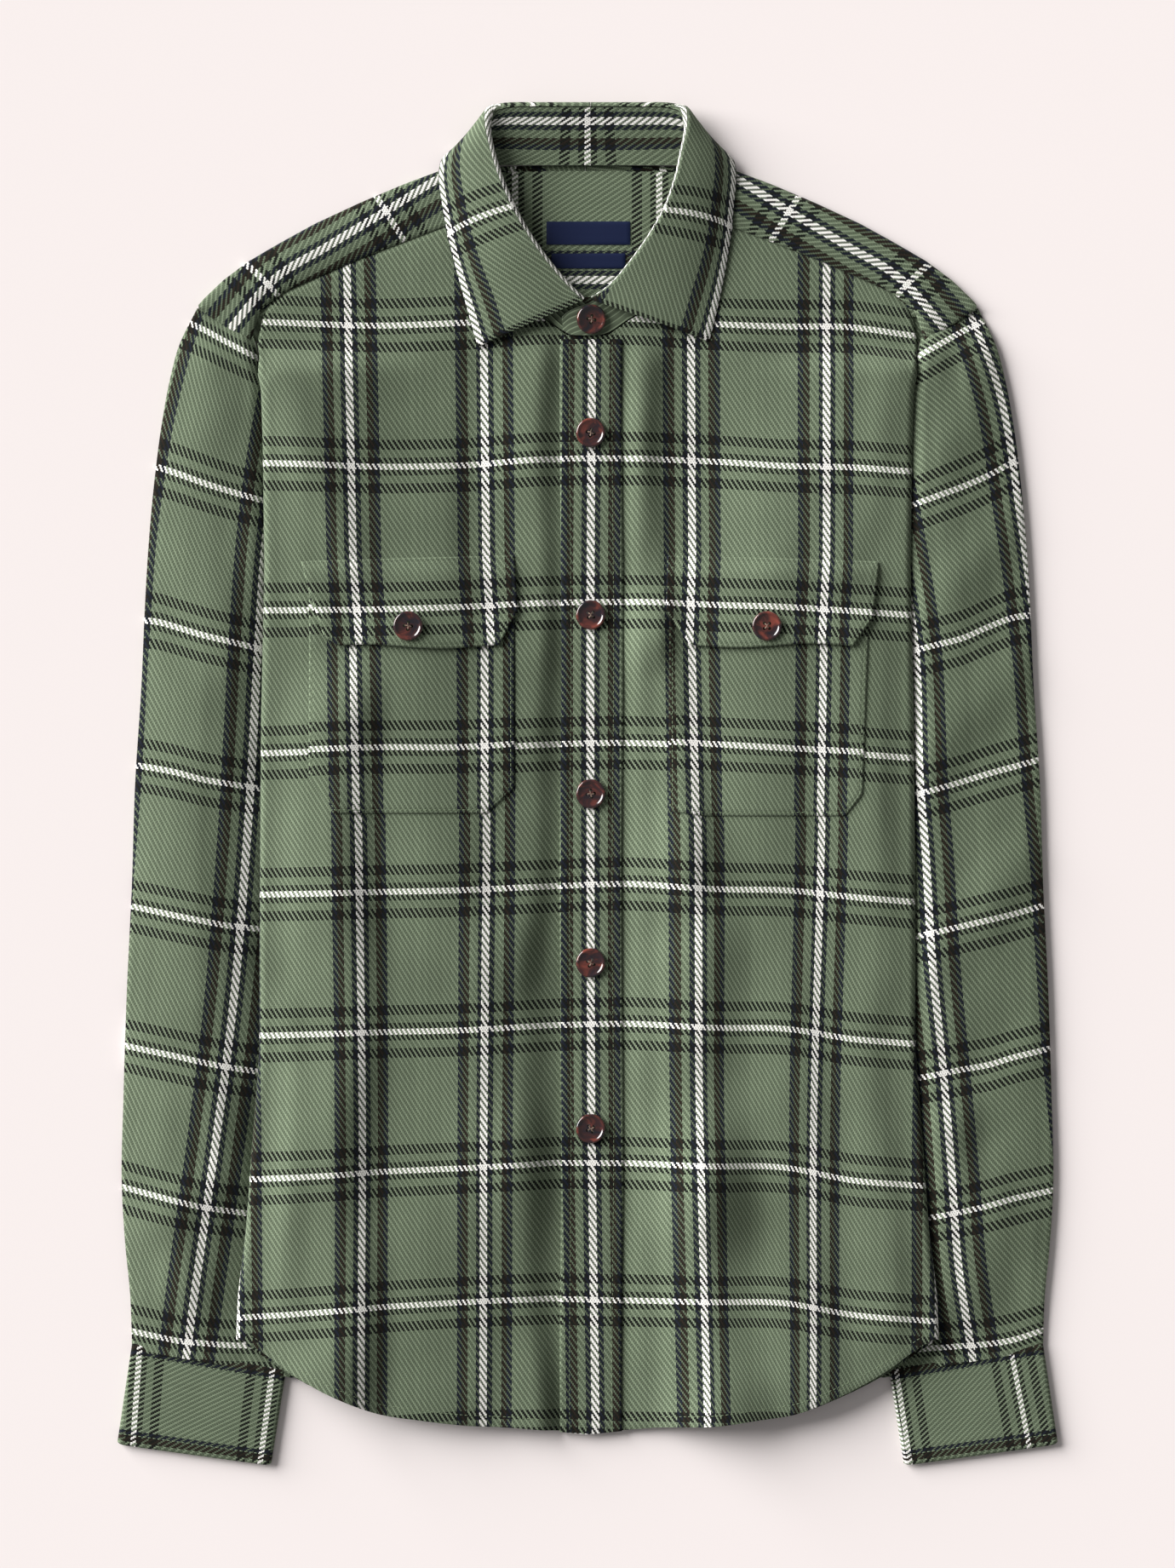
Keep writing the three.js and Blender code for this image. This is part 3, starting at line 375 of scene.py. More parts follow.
def body_cloth(warps, x, y):
    u = check_place(warps, WARP_Y, y, x, WARP_PITCH, False)
    v = check_place(BODY_WEFTS, BODY_WEFT_X, x, y, WEFT_PITCH, True)
    return np.stack([u, v], -1)


def sleeve_cloth(side, x, y):
    if side < 0:
        warps, wefts, at = LEFT_SLEEVE_WARPS, LEFT_SLEEVE_WEFTS, LEFT_SLEEVE_WEFT_X
    else:
        warps, wefts, at = RIGHT_SLEEVE_WARPS, RIGHT_SLEEVE_WEFTS, RIGHT_SLEEVE_WEFT_X
    u = check_place(warps, SLEEVE_WARP_Y, y, side * x, WARP_PITCH, False)
    v = check_place(wefts, at, side * x, y, WEFT_PITCH, True)
    return np.stack([u, v], -1)


def steps(*parts):
    """Numbers from 0 to 1 whose spacing changes: pairs of an end and a number of steps."""
    places = [np.array([0.0])]
    start = 0.0
    for end, count in parts:
        places.append(np.linspace(start, end, count + 1)[1:])
        start = end
    return np.concatenate(places)


def lengths(points, axis=0):
    """Distance walked along a grid of points."""
    walked = np.linalg.norm(np.diff(points, axis=axis), axis=-1)
    walked = np.cumsum(walked, axis=axis)
    return np.concatenate([np.zeros_like(np.take(walked, [0], axis)), walked], axis)


# ---- meshes ----


def add_mesh(name, verts, faces, material, corners=None, sharp=50):
    """A new object from points in millimetres; corners holds the place on the cut cloth."""
    verts = np.asarray(verts, float)
    faces = np.asarray(faces)
    used, flat = np.unique(faces, return_inverse=True)
    mesh = bpy.data.meshes.new(name)
    mesh.from_pydata((verts[used] * MM).tolist(), [], flat.reshape(faces.shape).tolist())
    if corners is not None:
        layer = mesh.uv_layers.new(name="cloth")
        layer.data.foreach_set("uv", np.asarray(corners, np.float32).ravel())
    mesh.shade_smooth()
    mesh.set_sharp_from_angle(angle=math.radians(sharp))
    mesh.materials.append(material)
    piece = bpy.data.objects.new(name, mesh)
    bpy.context.scene.collection.objects.link(piece)
    return piece


def add_cloth(name, points, cloth, thickness, material, ring=False, shown=None):
    """A thin closed shell round a grid of points at the middle of the cloth."""
    across, along = points.shape[:2]
    if ring:
        du = np.roll(points, -1, 0) - np.roll(points, 1, 0)
    else:
        du = np.gradient(points, axis=0)
    dv = np.gradient(points, axis=1)
    normal = np.cross(du, dv)
    normal = normal / np.maximum(np.linalg.norm(normal, axis=-1, keepdims=True), 1e-9)
    outer = (points + normal * thickness / 2).reshape(-1, 3)
    inner = (points - normal * thickness / 2).reshape(-1, 3)
    spans = across if ring else across - 1
    keep = np.ones((spans, along - 1), bool) if shown is None else shown
    i, k = np.nonzero(keep)
    count = across * along
    cloth_flat = cloth.reshape(-1, 2)
    faces, corners = [], []

    def add_quads(i, k, places):
        quad, place = [], []
        for step_i, step_k, low in places:
            quad.append(((i + step_i) % across) * along + k + step_k + low * count)
            place.append(cloth_flat[(i + step_i) * along + k + step_k])
        faces.append(np.stack(quad, 1))
        corners.append(np.stack(place, 1))

    add_quads(i, k, ((0, 0, 0), (1, 0, 0), (1, 1, 0), (0, 1, 0)))
    add_quads(i, k, ((0, 0, 1), (0, 1, 1), (1, 1, 1), (1, 0, 1)))
    framed = np.pad(keep, 1)
    if ring:
        framed[0, 1:-1], framed[-1, 1:-1] = keep[-1], keep[0]
    rims = (
        (framed[1:-1, :-2], ((0, 0, 1), (1, 0, 1), (1, 0, 0), (0, 0, 0))),
        (framed[1:-1, 2:], ((0, 1, 0), (1, 1, 0), (1, 1, 1), (0, 1, 1))),
        (framed[:-2, 1:-1], ((0, 0, 0), (0, 1, 0), (0, 1, 1), (0, 0, 1))),
        (framed[2:, 1:-1], ((1, 0, 1), (1, 1, 1), (1, 1, 0), (1, 0, 0))),
    )
    for neighbour, places in rims:
        ri, rk = np.nonzero(keep & ~neighbour)
        if len(ri):
            add_quads(ri, rk, places)
    verts = np.concatenate([outer, inner])
    return add_mesh(name, verts, np.concatenate(faces), material, np.concatenate(corners))


def dress(piece, slot, *nodes):
    """A finished piece rides on the shirt and stands for its solids."""
    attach(piece, "root")
    if nodes:
        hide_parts(*nodes)
    return piece


# ---- materials ----


def put(tree, kind, inputs=(), **settings):
    """Adds a node with its settings and links; inputs are values, nodes or sockets in order,
    or a dictionary by name."""
    made = tree.nodes.new(kind)
    for key, value in settings.items():
        setattr(made, key, value)
    pairs = inputs.items() if isinstance(inputs, dict) else enumerate(inputs)
    for key, value in pairs:
        if value is None:
            continue
        if isinstance(value, bpy.types.Node):
            value = value.outputs[0]
        if isinstance(value, bpy.types.NodeSocket):
            tree.links.new(value, made.inputs[key])
        else:
            made.inputs[key].default_value = value
    return made


def once(name):
    """A material is made at its first use and shared after that."""
    def wrap(make):
        def take(*seed):
            full = "_".join([name, *map(str, seed)])
            return bpy.data.materials.get(full) or make(full, *seed)
        return take
    return wrap


def new_material(name, **settings):
    """A named material with its shader's own sockets set."""
    material = bpy.data.materials.new(name)
    material.use_nodes = True
    shader = material.node_tree.nodes["Principled BSDF"]
    for key, value in settings.items():
        shader.inputs[key.replace("_", " ")].default_value = value
    return material, material.node_tree, shader


def paint(tree, shader, colour, shade):
    """Gives the shader a colour that a shade makes lighter and darker."""
    tinted = put(tree, "ShaderNodeVectorMath", {0: colour, "Scale": shade}, operation="SCALE")
    tree.links.new(tinted.outputs[0], shader.inputs["Base Color"])


def stripes(tree, place, bands, ground):
    """A colour that holds in bands of half the check's pitch."""
    ramp = put(tree, "ShaderNodeValToRGB", [place])
    ramp.color_ramp.interpolation = "CONSTANT"
    elements = ramp.color_ramp.elements
    elements[0].position = 0
    elements[0].color = bands[0][1]
    elements[1].position = bands[0][0]
    starts = [end for end, _ in bands]
    colours = [colour for _, colour in bands[1:]] + [ground]
    elements[1].color = colours[0]
    for start, colour in zip(starts[1:], colours[1:]):
        elements.new(start).color = colour
    return ramp


@once("brushed_cotton_flannel_twill")
def brushed_flannel(name):
    """Brushed cotton flannel, yarn-dyed and woven as a 2/2 twill: matt, with soft diagonal ribs,
    painted shade at the floats' edges and in the small gaps between them, and a faint raised nap."""
    s = bpy.context.scene.overshirt_cloth
    material, tree, shader = new_material(name, Roughness=0.92, IOR=1.5, Specular_IOR_Level=0.12,
                                          Sheen_Weight=0.07, Sheen_Roughness=0.55)
    warp = s.warp_thread / MM
    weft = s.weft_thread / MM
    cloth = put(tree, "ShaderNodeUVMap", uv_map="cloth")
    place = put(tree, "ShaderNodeSeparateXYZ", [cloth])

    def calc(operation, *inputs):
        return put(tree, "ShaderNodeMath", inputs, operation=operation)

    # Threads: their number, and how far a point is from one's middle; a weft thread's middle
    # lies on the check's lines, and a warp thread's lies beside them
    warp_at = calc("DIVIDE", place.outputs[0], warp)
    weft_at = calc("DIVIDE", place.outputs[1], weft)
    weft_at = calc("ADD", weft_at, 0.5)
    warp_no = calc("FLOOR", warp_at)
    weft_no = calc("FLOOR", weft_at)

    # The check: bands on either side of the white lines, 84 mm apart across and 85 mm along
    bands = []
    shifts = (0.5 + warp / (2 * WARP_PITCH), 0.5)
    for number, thread, pitch, shift in ((warp_no, warp, WARP_PITCH, shifts[0]),
                                         (weft_no, weft, WEFT_PITCH, shifts[1])):
        at = calc("MULTIPLY_ADD", number, thread / pitch, shift)
        at = calc("FRACT", at)
        at = calc("SUBTRACT", at, 0.5)
        at = calc("ABSOLUTE", at)
        bands.append(calc("MULTIPLY", at, 2.0))
    # A colour's last number says how much its yarn covers of the yarns that cross it
    white, navy, brown, black = (tuple(c)[:3] for c in (s.white, s.navy, s.brown, s.black))
    green, deep = tuple(s.ground_warp)[:3] + (0.0,), tuple(s.ground_weft)[:3] + (0.0,)
    half = WARP_PITCH / 2
    warp_colour = stripes(tree, bands[0], (
        (2.3 / half, white + (1.0,)), (5.5 / half, navy + (1.0,)), (10.6 / half, green),
        (14.5 / half, brown + (1.0,)), (17.8 / half, navy + (1.0,))), green)
    half = WEFT_PITCH / 2
    weft_colour = stripes(tree, bands[1], (
        (1.8 / half, white + (0.6,)), (5.3 / half, black + (0.6,)), (10.1 / half, deep),
        (16.0 / half, black + (0.6,))), deep)

    # The twill: each warp thread floats over two wefts, one step on from its neighbour
    step = calc("MULTIPLY_ADD", warp_no, 0.25, 0.0)
    phase = calc("MULTIPLY_ADD", weft_at, 0.25, step)
    phase = calc("FRACT", phase)
    reach = calc("MULTIPLY_ADD", warp_colour.outputs[1], 0.1, 0.54)
    reach = calc("MULTIPLY_ADD", weft_colour.outputs[1], -0.15, reach)
    warp_up = calc("LESS_THAN", phase, reach)
    colour = put(tree, "ShaderNodeMix", {"Factor": warp_up, 6: weft_colour.outputs[0],
                 7: warp_colour.outputs[0]}, data_type="RGBA")

    # Where a point is along its float and across its thread, from -1 to 1
    warp_run = calc("DIVIDE", phase, reach)
    rest = calc("SUBTRACT", 1.0, reach)
    weft_run = calc("SUBTRACT", phase, reach)
    weft_run = calc("DIVIDE", weft_run, rest)
    run = put(tree, "ShaderNodeMix", {"Factor": warp_up, 2: weft_run, 3: warp_run},
              data_type="FLOAT")
    run = calc("MULTIPLY_ADD", run, 2.0, -1.0)
    warp_across = calc("FRACT", warp_at)
    weft_across = calc("FRACT", weft_at)
    across = put(tree, "ShaderNodeMix", {"Factor": warp_up, 2: weft_across, 3: warp_across},
                 data_type="FLOAT")
    across = calc("MULTIPLY_ADD", across, 2.0, -1.0)

    # A float is round across and dips at its ends; the same shape darkens the colour as painted
    # shade at each thread's edges and in the gaps between yarns
    dip = calc("MULTIPLY", run, run)
    side = calc("MULTIPLY", across, across)
    dip = calc("MULTIPLY_ADD", dip, -0.64, 1.0)
    side = calc("MULTIPLY_ADD", side, -0.3, 1.0)
    high = calc("MULTIPLY", dip, side)

    # The float's shape darkens the colour as painted shade; besides, each yarn, each tuft of the nap
    # and each patch of cloth differs a little
    shade = calc("MULTIPLY", high, 1.28)
    yarn = put(tree, "ShaderNodeTexWhiteNoise", {"W": warp_no}, noise_dimensions="1D")
    yarn = put(tree, "ShaderNodeMapRange", [yarn.outputs[0], 0.0, 1.0, 0.94, 1.06])
    patch = put(tree, "ShaderNodeTexNoise", {"Vector": cloth, "Scale": 0.035, "Detail": 3.0},
                noise_dimensions="2D")
    patch = put(tree, "ShaderNodeMapRange", [patch.outputs[0], 0.3, 0.7, 0.96, 1.04])
    fuzz = put(tree, "ShaderNodeTexNoise", {"Vector": cloth, "Scale": 1.5, "Detail": 2.0},
               noise_dimensions="2D")
    tuft = put(tree, "ShaderNodeMapRange", [fuzz.outputs[0], 0.3, 0.7, 0.84, 1.16])
    shade = calc("MULTIPLY", shade, yarn)
    shade = calc("MULTIPLY", shade, patch)
    shade = calc("MULTIPLY", shade, tuft)
    paint(tree, shader, colour.outputs[2], shade)

    relief = calc("MULTIPLY_ADD", fuzz.outputs[0], 0.25, high)
    bump = put(tree, "ShaderNodeBump", {"Strength": 0.3, "Distance": 0.3 * MM,
               "Height": relief})
    tree.links.new(bump.outputs[0], shader.inputs["Normal"])
    return material


@once("spun_polyester_sewing_thread")
def sewing_thread(name):
    """Spun polyester sewing thread, twisted: fine and slightly glossy along its ply."""
    s = bpy.context.scene.overshirt_trims
    material, tree, shader = new_material(name, Roughness=0.6, Base_Color=tuple(s.stitch_colour))
    # The ply is too fine for the picture, so it is drawn 0.8 mm long
    at = put(tree, "ShaderNodeTexCoord")
    ply = put(tree, "ShaderNodeTexNoise", {"Vector": at.outputs["Object"], "Scale": 1250.0})
    shade = put(tree, "ShaderNodeMapRange", [ply.outputs[0], 0.3, 0.7, 0.75, 1.2])
    paint(tree, shader, tuple(s.stitch_colour)[:3], shade)
    return material


@once("cast_polyester_tortoise")
def tortoise_polyester(name, seed):
    """Cast polyester button in imitation tortoise, turned and tumbled: red-brown clouded with
    near-black, clear and glossy, with a smooth rim."""
    material, tree, shader = new_material(name, Roughness=0.16, IOR=1.56, Coat_Weight=0.5,
                                          Coat_Roughness=0.06)
    at = put(tree, "ShaderNodeTexCoord")
    moved = put(tree, "ShaderNodeVectorMath", [at.outputs["Object"], (seed * 0.37, seed * 0.21, 0)],
                operation="ADD")
    # Clouds of dye are 8 to 12 mm across
    cloud = put(tree, "ShaderNodeTexNoise", {"Vector": moved, "Scale": 95.0, "Detail": 3.0,
                "Roughness": 0.6, "Distortion": 0.8})
    ramp = put(tree, "ShaderNodeValToRGB", [cloud.outputs[0]])
    ramp.color_ramp.elements[0].position = 0.36
    ramp.color_ramp.elements[0].color = srgb("14121C")
    ramp.color_ramp.elements[1].position = 0.68
    ramp.color_ramp.elements[1].color = srgb("74372C")
    ramp.color_ramp.elements.new(0.5).color = srgb("351A1A")
    tree.links.new(ramp.outputs[0], shader.inputs["Base Color"])
    return material


@once("twisted_cotton_button_thread")
def button_thread(name):
    """Twisted cotton thread through the button's holes: matt and pale brown."""
    material, tree, shader = new_material(name, Roughness=0.8)
    at = put(tree, "ShaderNodeTexCoord")
    ply = put(tree, "ShaderNodeTexNoise", {"Vector": at.outputs["Object"], "Scale": 1600.0})
    ramp = put(tree, "ShaderNodeValToRGB", [ply.outputs[0]])
    ramp.color_ramp.elements[0].color = srgb("4A3A34")
    ramp.color_ramp.elements[1].color = srgb("A8917F")
    tree.links.new(ramp.outputs[0], shader.inputs["Base Color"])
    return material


@once("woven_polyester_damask_label")
def woven_label(name):
    """Damask label, woven of fine polyester as a satin: dark blue, smooth and faintly ribbed."""
    s = bpy.context.scene.overshirt_trims
    material, tree, shader = new_material(name, Roughness=0.6, Specular_IOR_Level=0.2)
    at = put(tree, "ShaderNodeTexCoord")
    place = put(tree, "ShaderNodeSeparateXYZ", [at.outputs["Object"]])
    # Its ribs are 0.25 mm apart in the real cloth and are drawn at 0.6 mm so that they show
    rib = put(tree, "ShaderNodeMath", [place.outputs[1], 2 * math.pi / (0.6 * MM)],
              operation="MULTIPLY")
    rib = put(tree, "ShaderNodeMath", [rib], operation="SINE")
    # The ribs also lighten and darken the colour: painted shade and light along the ribs
    shade = put(tree, "ShaderNodeMapRange", [rib, -1.0, 1.0, 0.82, 1.12])
    paint(tree, shader, tuple(s.label_colour)[:3], shade)
    bump = put(tree, "ShaderNodeBump", {"Strength": 0.3, "Distance": 0.1 * MM, "Height": rib})
    tree.links.new(bump.outputs[0], shader.inputs["Normal"])
    return material


def studio_paper():
    """Matt studio paper: pale, even and without gloss, with a very faint tooth."""
    s = bpy.context.scene.overshirt_stage
    material, tree, shader = new_material("matt_studio_paper", Roughness=1.0,
                                          Specular_IOR_Level=0.0)
    at = put(tree, "ShaderNodeTexCoord")
    tooth = put(tree, "ShaderNodeTexNoise", {"Vector": at.outputs["Object"], "Scale": 900.0})
    shade = put(tree, "ShaderNodeMapRange", [tooth.outputs[0], 0.0, 1.0, 0.995, 1.005])
    paint(tree, shader, tuple(s.floor_colour)[:3], shade)
    return material


# ---- pieces ----


def turned_side(side, ys_for, cloth_edge, edge, low, bends, strips):
    """Columns of cloth that roll over a panel's side and run back under it."""
    columns, places = [], []
    for i in range(1, bends + strips + 1):
        bend = min(i / bends, 1)
        inward = max(i - bends, 0) / strips
        y = ys_for(bend, inward)
        z_low = low + side_lift(y)
        radius = np.maximum((edge(y) - z_low) / 2, 0)
        x = roll_start(y) + radius * math.sin(math.pi * bend) - inward * turn_width(y)
        z = z_low + radius + radius * math.cos(math.pi * bend)
        columns.append(np.stack([side * x, y, z], -1))
        walked = math.pi * radius * bend + inward * turn_width(y)
        place = cloth_edge(y)
        places.append(place + np.stack([side * walked, np.zeros_like(y)], -1))
    return columns, places


def front_panel(side):
    """Points and cloth places of a front, with its turned side."""
    edge = 16 if side > 0 else 23
    warps = RIGHT_WARPS if side > 0 else LEFT_WARPS
    shares = steps((0.9, 62), (1, 14))
    rows = steps((0.03, 10), (0.97, 200), (1, 10))
    columns, places = [], []
    for t in shares:
        top_x = lerp(-edge, BODY_SIDE[0][1], t)
        hem_x = lerp(-edge, BODY_SIDE[-1][1], t)
        tuck = 4 * ease(70, 78, top_x)
        top = read(FRONT_TOP, top_x) + tuck * (1 - ease(198, 204, top_x)) - SEAM
        foot = hem_y(abs(hem_x))
        y = lerp(top, foot, rows)
        x = lerp(-edge, roll_start(y), t)
        z = front_height(side, x, y) - 1.4 * ease(top - 6.5, top - 3, y) * (tuck > 0.5)
        z = z - 0.35 * ease(foot + 1.6, foot, y)
        columns.append(np.stack([side * x, y, z], -1))
        places.append(body_cloth(warps, side * x, y))
    foot = BODY_SIDE[-1][0]

    def strip_rows(bend, inward):
        top = lerp(BODY_SIDE[0][0] - SEAM, TURN_TOP_Y, min(1, 2.5 * bend))
        return lerp(top, foot + inward * SEAM, rows)

    def cloth_edge(y):
        return body_cloth(warps, side * roll_start(y), y)

    more, more_places = turned_side(side, strip_rows, cloth_edge, front_edge_height, STRIP_Z,
                                    10, 12)
    points = np.array(columns + more)
    cloth = np.array(places + more_places)
    if side < 0:
        return points[::-1], cloth[::-1]
    return points, cloth


class SHIRT_OT_fronts(bpy.types.Operator):
    """Cut the two fronts, with their sides rolled under."""

    bl_idname = "overshirt.fronts"
    bl_label = "Fronts"

    def execute(self, context):
        for side, name in ((-1, "left"), (1, "right")):
            points, cloth = front_panel(side)
            panel = add_cloth(f"front_panel_{name}", points, cloth, CLOTH, brushed_flannel())
            dress(panel, "flannel", f"front_{name}")
        return {"FINISHED"}


def back_edge_height(y):
    """Height of the back where its side starts to roll."""
    top = BODY_SIDE[0][0]
    stacked = STRIP_Z + 2 * LAYER + side_lift(y)
    return lerp(FLOOR_Z, stacked, ease(top, top - 20, y))


class SHIRT_OT_back(bpy.types.Operator):
    """Cut the back, whose sides rise over the turned strips and roll under."""

    bl_idname = "overshirt.back"
    bl_label = "Back"

    def execute(self, context):
        rows = steps((1, 120))
        rise = 60
        top_y, foot_y = BODY_SIDE[0][0], BODY_SIDE[-1][0]
        fold, seam = [r[0] for r in YOKE], [r[3] for r in YOKE]
        strip_gap = 2
        # Inward from the edge: over the turned strip, down to the floor, and on to the middle
        stages = [(0, t) for t in np.linspace(0, 1, 9)]
        stages += [(1, t) for t in np.linspace(0, 1, 9)[1:]]
        stages += [(2, t) for t in np.linspace(0, 1, 12)[1:]]

        def offset(stage, t, y):
            strip = turn_width(y) + strip_gap
            if stage == 0:
                return t * strip
            return strip + t * rise if stage == 1 else lerp(strip + rise, roll_start(y), t)

        halves = []
        for side in (1, -1):
            columns, places = [], []
            for stage, t in stages:
                ends = [roll_start(y) - offset(stage, t, y) for y in (top_y, foot_y)]
                top = np.interp(ends[0], fold, seam) - SEAM
                foot = hem_y(ends[1])
                y = lerp(top, foot, rows)
                x = roll_start(y) - offset(stage, t, y)
                start = turn_width(y) + strip_gap
                share = 1 - ease(start, start + rise, offset(stage, t, y))
                z = lerp(FLOOR_Z, back_edge_height(y), share)
                columns.append(np.stack([side * x, y, z], -1))
                places.append(np.stack([side * x + WARP_PITCH / 2, y], -1))
            columns, places = columns[::-1], places[::-1]

            def strip_rows(bend, inward):
                top = lerp(top_y - SEAM - 20, TURN_TOP_Y, bend)
                return lerp(top, foot_y + inward * SEAM, rows)

            def cloth_edge(y, side=side):
                return np.stack([side * roll_start(y) + WARP_PITCH / 2, y], -1)

            more, more_places = turned_side(side, strip_rows, cloth_edge, back_edge_height,
                                            STRIP_Z + LAYER, 6, 8)
            halves.append((columns + more, places + more_places))
        points = np.array(halves[1][0][::-1] + halves[0][0][1:])
        cloth = np.array(halves[1][1][::-1] + halves[0][1][1:])
        # The back's right side faces down, so its cloth place is mirrored
        cloth[..., 0] *= -1
        panel = add_cloth("back_panel", points, cloth, CLOTH, brushed_flannel())
        dress(panel, "flannel", "back")
        return {"FINISHED"}


def yoke_place(x, y, side):
    """Place on the yoke's cloth, whose warp runs along the shoulder."""
    xs, ys = zip(*YOKE_STRIPE)
    line = flow(xs, ys, x)
    slope = flow(xs, ys, x + 0.5) - flow(xs, ys, x - 0.5)
    off = (y - line) / np.sqrt(1 + slope**2)
    foot = x + off * slope / np.sqrt(1 + slope**2)
    walk = np.linspace(xs[0] - 80, xs[-1] + 30, 400)
    length = lengths(np.stack([walk, flow(xs, ys, walk)], -1))
    run = np.interp(foot, walk, length) - np.interp(YOKE_CROSSING_X, walk, length)
    return np.stack([-side * off, run], -1)


class SHIRT_OT_yoke(bpy.types.Operator):
    """Cut the yoke, which wraps over both shoulders, and its inner layer."""

    bl_idname = "overshirt.yoke"
    bl_label = "Yoke"

    def execute(self, context):
        half_x = np.concatenate([np.linspace(0, NECK_HALF, 27),
                                 np.linspace(NECK_HALF, YOKE[-1][0], 64)[1:]])
        t = steps((0.06, 3), (1, 18))
        columns, places = [], []
        radius = (YOKE_FRONT_Z - FLOOR_Z) / 2
        table = np.array(YOKE, float).T
        for x in half_x:
            fold, front, back = (np.interp(x, table[0], table[i]) for i in (1, 2, 3))
            front = front - 1.0
            centre = fold - 2.35
            full = 1.6 * ease(88, 130, x) * (1 - ease(206, 232, x)) + 0.5
            bulge = np.sin(math.pi * np.clip(t, 0, 1)) ** 0.7
            edge = 0.5 * (1 - np.sqrt(np.clip(t * (centre - front) / 2, 0, 1)))
            y = lerp(front, centre, t)
            z = YOKE_FRONT_Z + 0.35 + full * bulge - edge
            top = np.stack([np.full_like(y, x), y, z], -1)
            turn = np.linspace(0, 1, 9)[1:]
            height = YOKE_FRONT_Z + 0.35 - FLOOR_Z
            roll_y = centre + radius * 1.15 * np.sin(math.pi * turn)
            roll_z = FLOOR_Z + height / 2 * (1 + np.cos(math.pi * turn))
            roll = np.stack([np.full_like(roll_y, x), roll_y, roll_z], -1)
            y = lerp(centre, back, np.linspace(0, 1, 9)[1:])
            under = np.stack([np.full_like(y, x), y, np.full_like(y, FLOOR_Z)], -1)
            column = np.concatenate([top, roll, under])
            unfolded = column[0, 1] + lengths(column)
            columns.append(column)
            places.append(yoke_place(np.full_like(unfolded, x), unfolded, 1))
        right, cloth = np.array(columns), np.array(places)
        left = right[::-1].copy()
        left[..., 0] *= -1
        left_cloth = cloth[::-1].copy()
        left_cloth[..., 0] *= -1
        points = np.concatenate([left[:-1], right])
        cloth = np.concatenate([left_cloth[:-1], cloth])
        middle = (points[:-1, :, 0] + points[1:, :, 0])[:, :-1] / 2
        height = (points[:-1, :-1, 1] + points[:-1, 1:, 1]) / 2
        rows = np.arange(points.shape[1] - 1)[None, :]
        under = rows >= len(t) + 7
        shown = (np.abs(middle) > NECK_HALF) | (under & (height < NECK_BACK_Y))
        yoke = add_cloth("yoke_outer", points, cloth, CLOTH, brushed_flannel(), shown=shown)
        dress(yoke, "flannel", "yoke")

        x = np.linspace(-200, 200, 101)
        y_top = np.minimum(read([r[:2] for r in YOKE], np.abs(x)) - 6, NECK_BACK_Y - SEAM)
        y = lerp(y_top[:, None], 277, np.linspace(0, 1, 31)[None, :])
        x = np.broadcast_to(x[:, None], y.shape)
        z = YOKE_INSIDE_Z + 0.18 * (1 + ripple(x, y, 1.0, 11)) * ease(277, 285, y)
        points = np.stack([x, y, z], -1)
        cloth = np.stack([299.5 - y, (x + 44.2) * WEFT_PITCH / 88.5], -1)
        lining = add_cloth("yoke_lining", points, cloth, CLOTH, brushed_flannel())
        dress(lining, "flannel", "yoke_inside")
        return {"FINISHED"}


PLACKET_LEFT = -16
PLACKET_RIGHT = 21
PLACKET_STITCH = 5.5


def edge_shape(distance, stitch, depth=0.35):
    """A folded edge rounds down, and a row of stitches sinks a little."""
    near = np.clip(1 - distance / 1.8, 0, 1)
    round_off = 0.75 * (1 - np.sqrt(1 - near**2))
    groove = depth * np.exp(-(((distance - stitch) / 0.9) ** 2))
    return round_off + groove


def even_steps(length, fine, coarse, edge=6):
    """Places from 0 to length, close together near both ends."""
    near = np.array(fine, float)
    count = max(int((length - 2 * edge) / coarse), 2)
    middle = np.linspace(edge, length - edge, count + 1)
    return np.concatenate([near[near < edge], middle, (length - near[near < edge])[::-1]])


FINE = (0, 0.35, 0.8, 1.3, 1.8, 2.4, 3.1, 4, 5)


class SHIRT_OT_placket(bpy.types.Operator):
    """Fold and sew the button strip on the right front."""

    bl_idname = "overshirt.placket"
    bl_label = "Placket"

    def execute(self, context):
        width = PLACKET_RIGHT - PLACKET_LEFT
        across = PLACKET_LEFT + even_steps(width, FINE, 2.2)
        rows = steps((1, 260))
        columns = []
        for x in across:
            top = min(read(FRONT_TOP, x) - 2, 263)
            foot = hem_y(abs(x)) - 0.4
            y = lerp(top, foot, rows)
            distance = min(x - PLACKET_LEFT, PLACKET_RIGHT - x)
            z = placket_height(x, y) - edge_shape(distance, PLACKET_STITCH)
            z = z - 0.5 * ease(foot + 2, foot, y)
            sway = 0.5 * np.sin(y / 47)
            columns.append(np.stack([x + sway, y, z], -1))
        points = np.array(columns)
        cloth = body_cloth(PLACKET_WARPS, points[..., 0], points[..., 1])
        placket = add_cloth("placket_strip", points, cloth, CLOTH, brushed_flannel())
        dress(placket, "flannel", "placket")
        return {"FINISHED"}


def placket_height(x, y):
    return front_height(1, x, y) + LAYER + 0.25 + ripple(3 * x, y, 0.35, 21)


POCKET_STITCH = 1.7
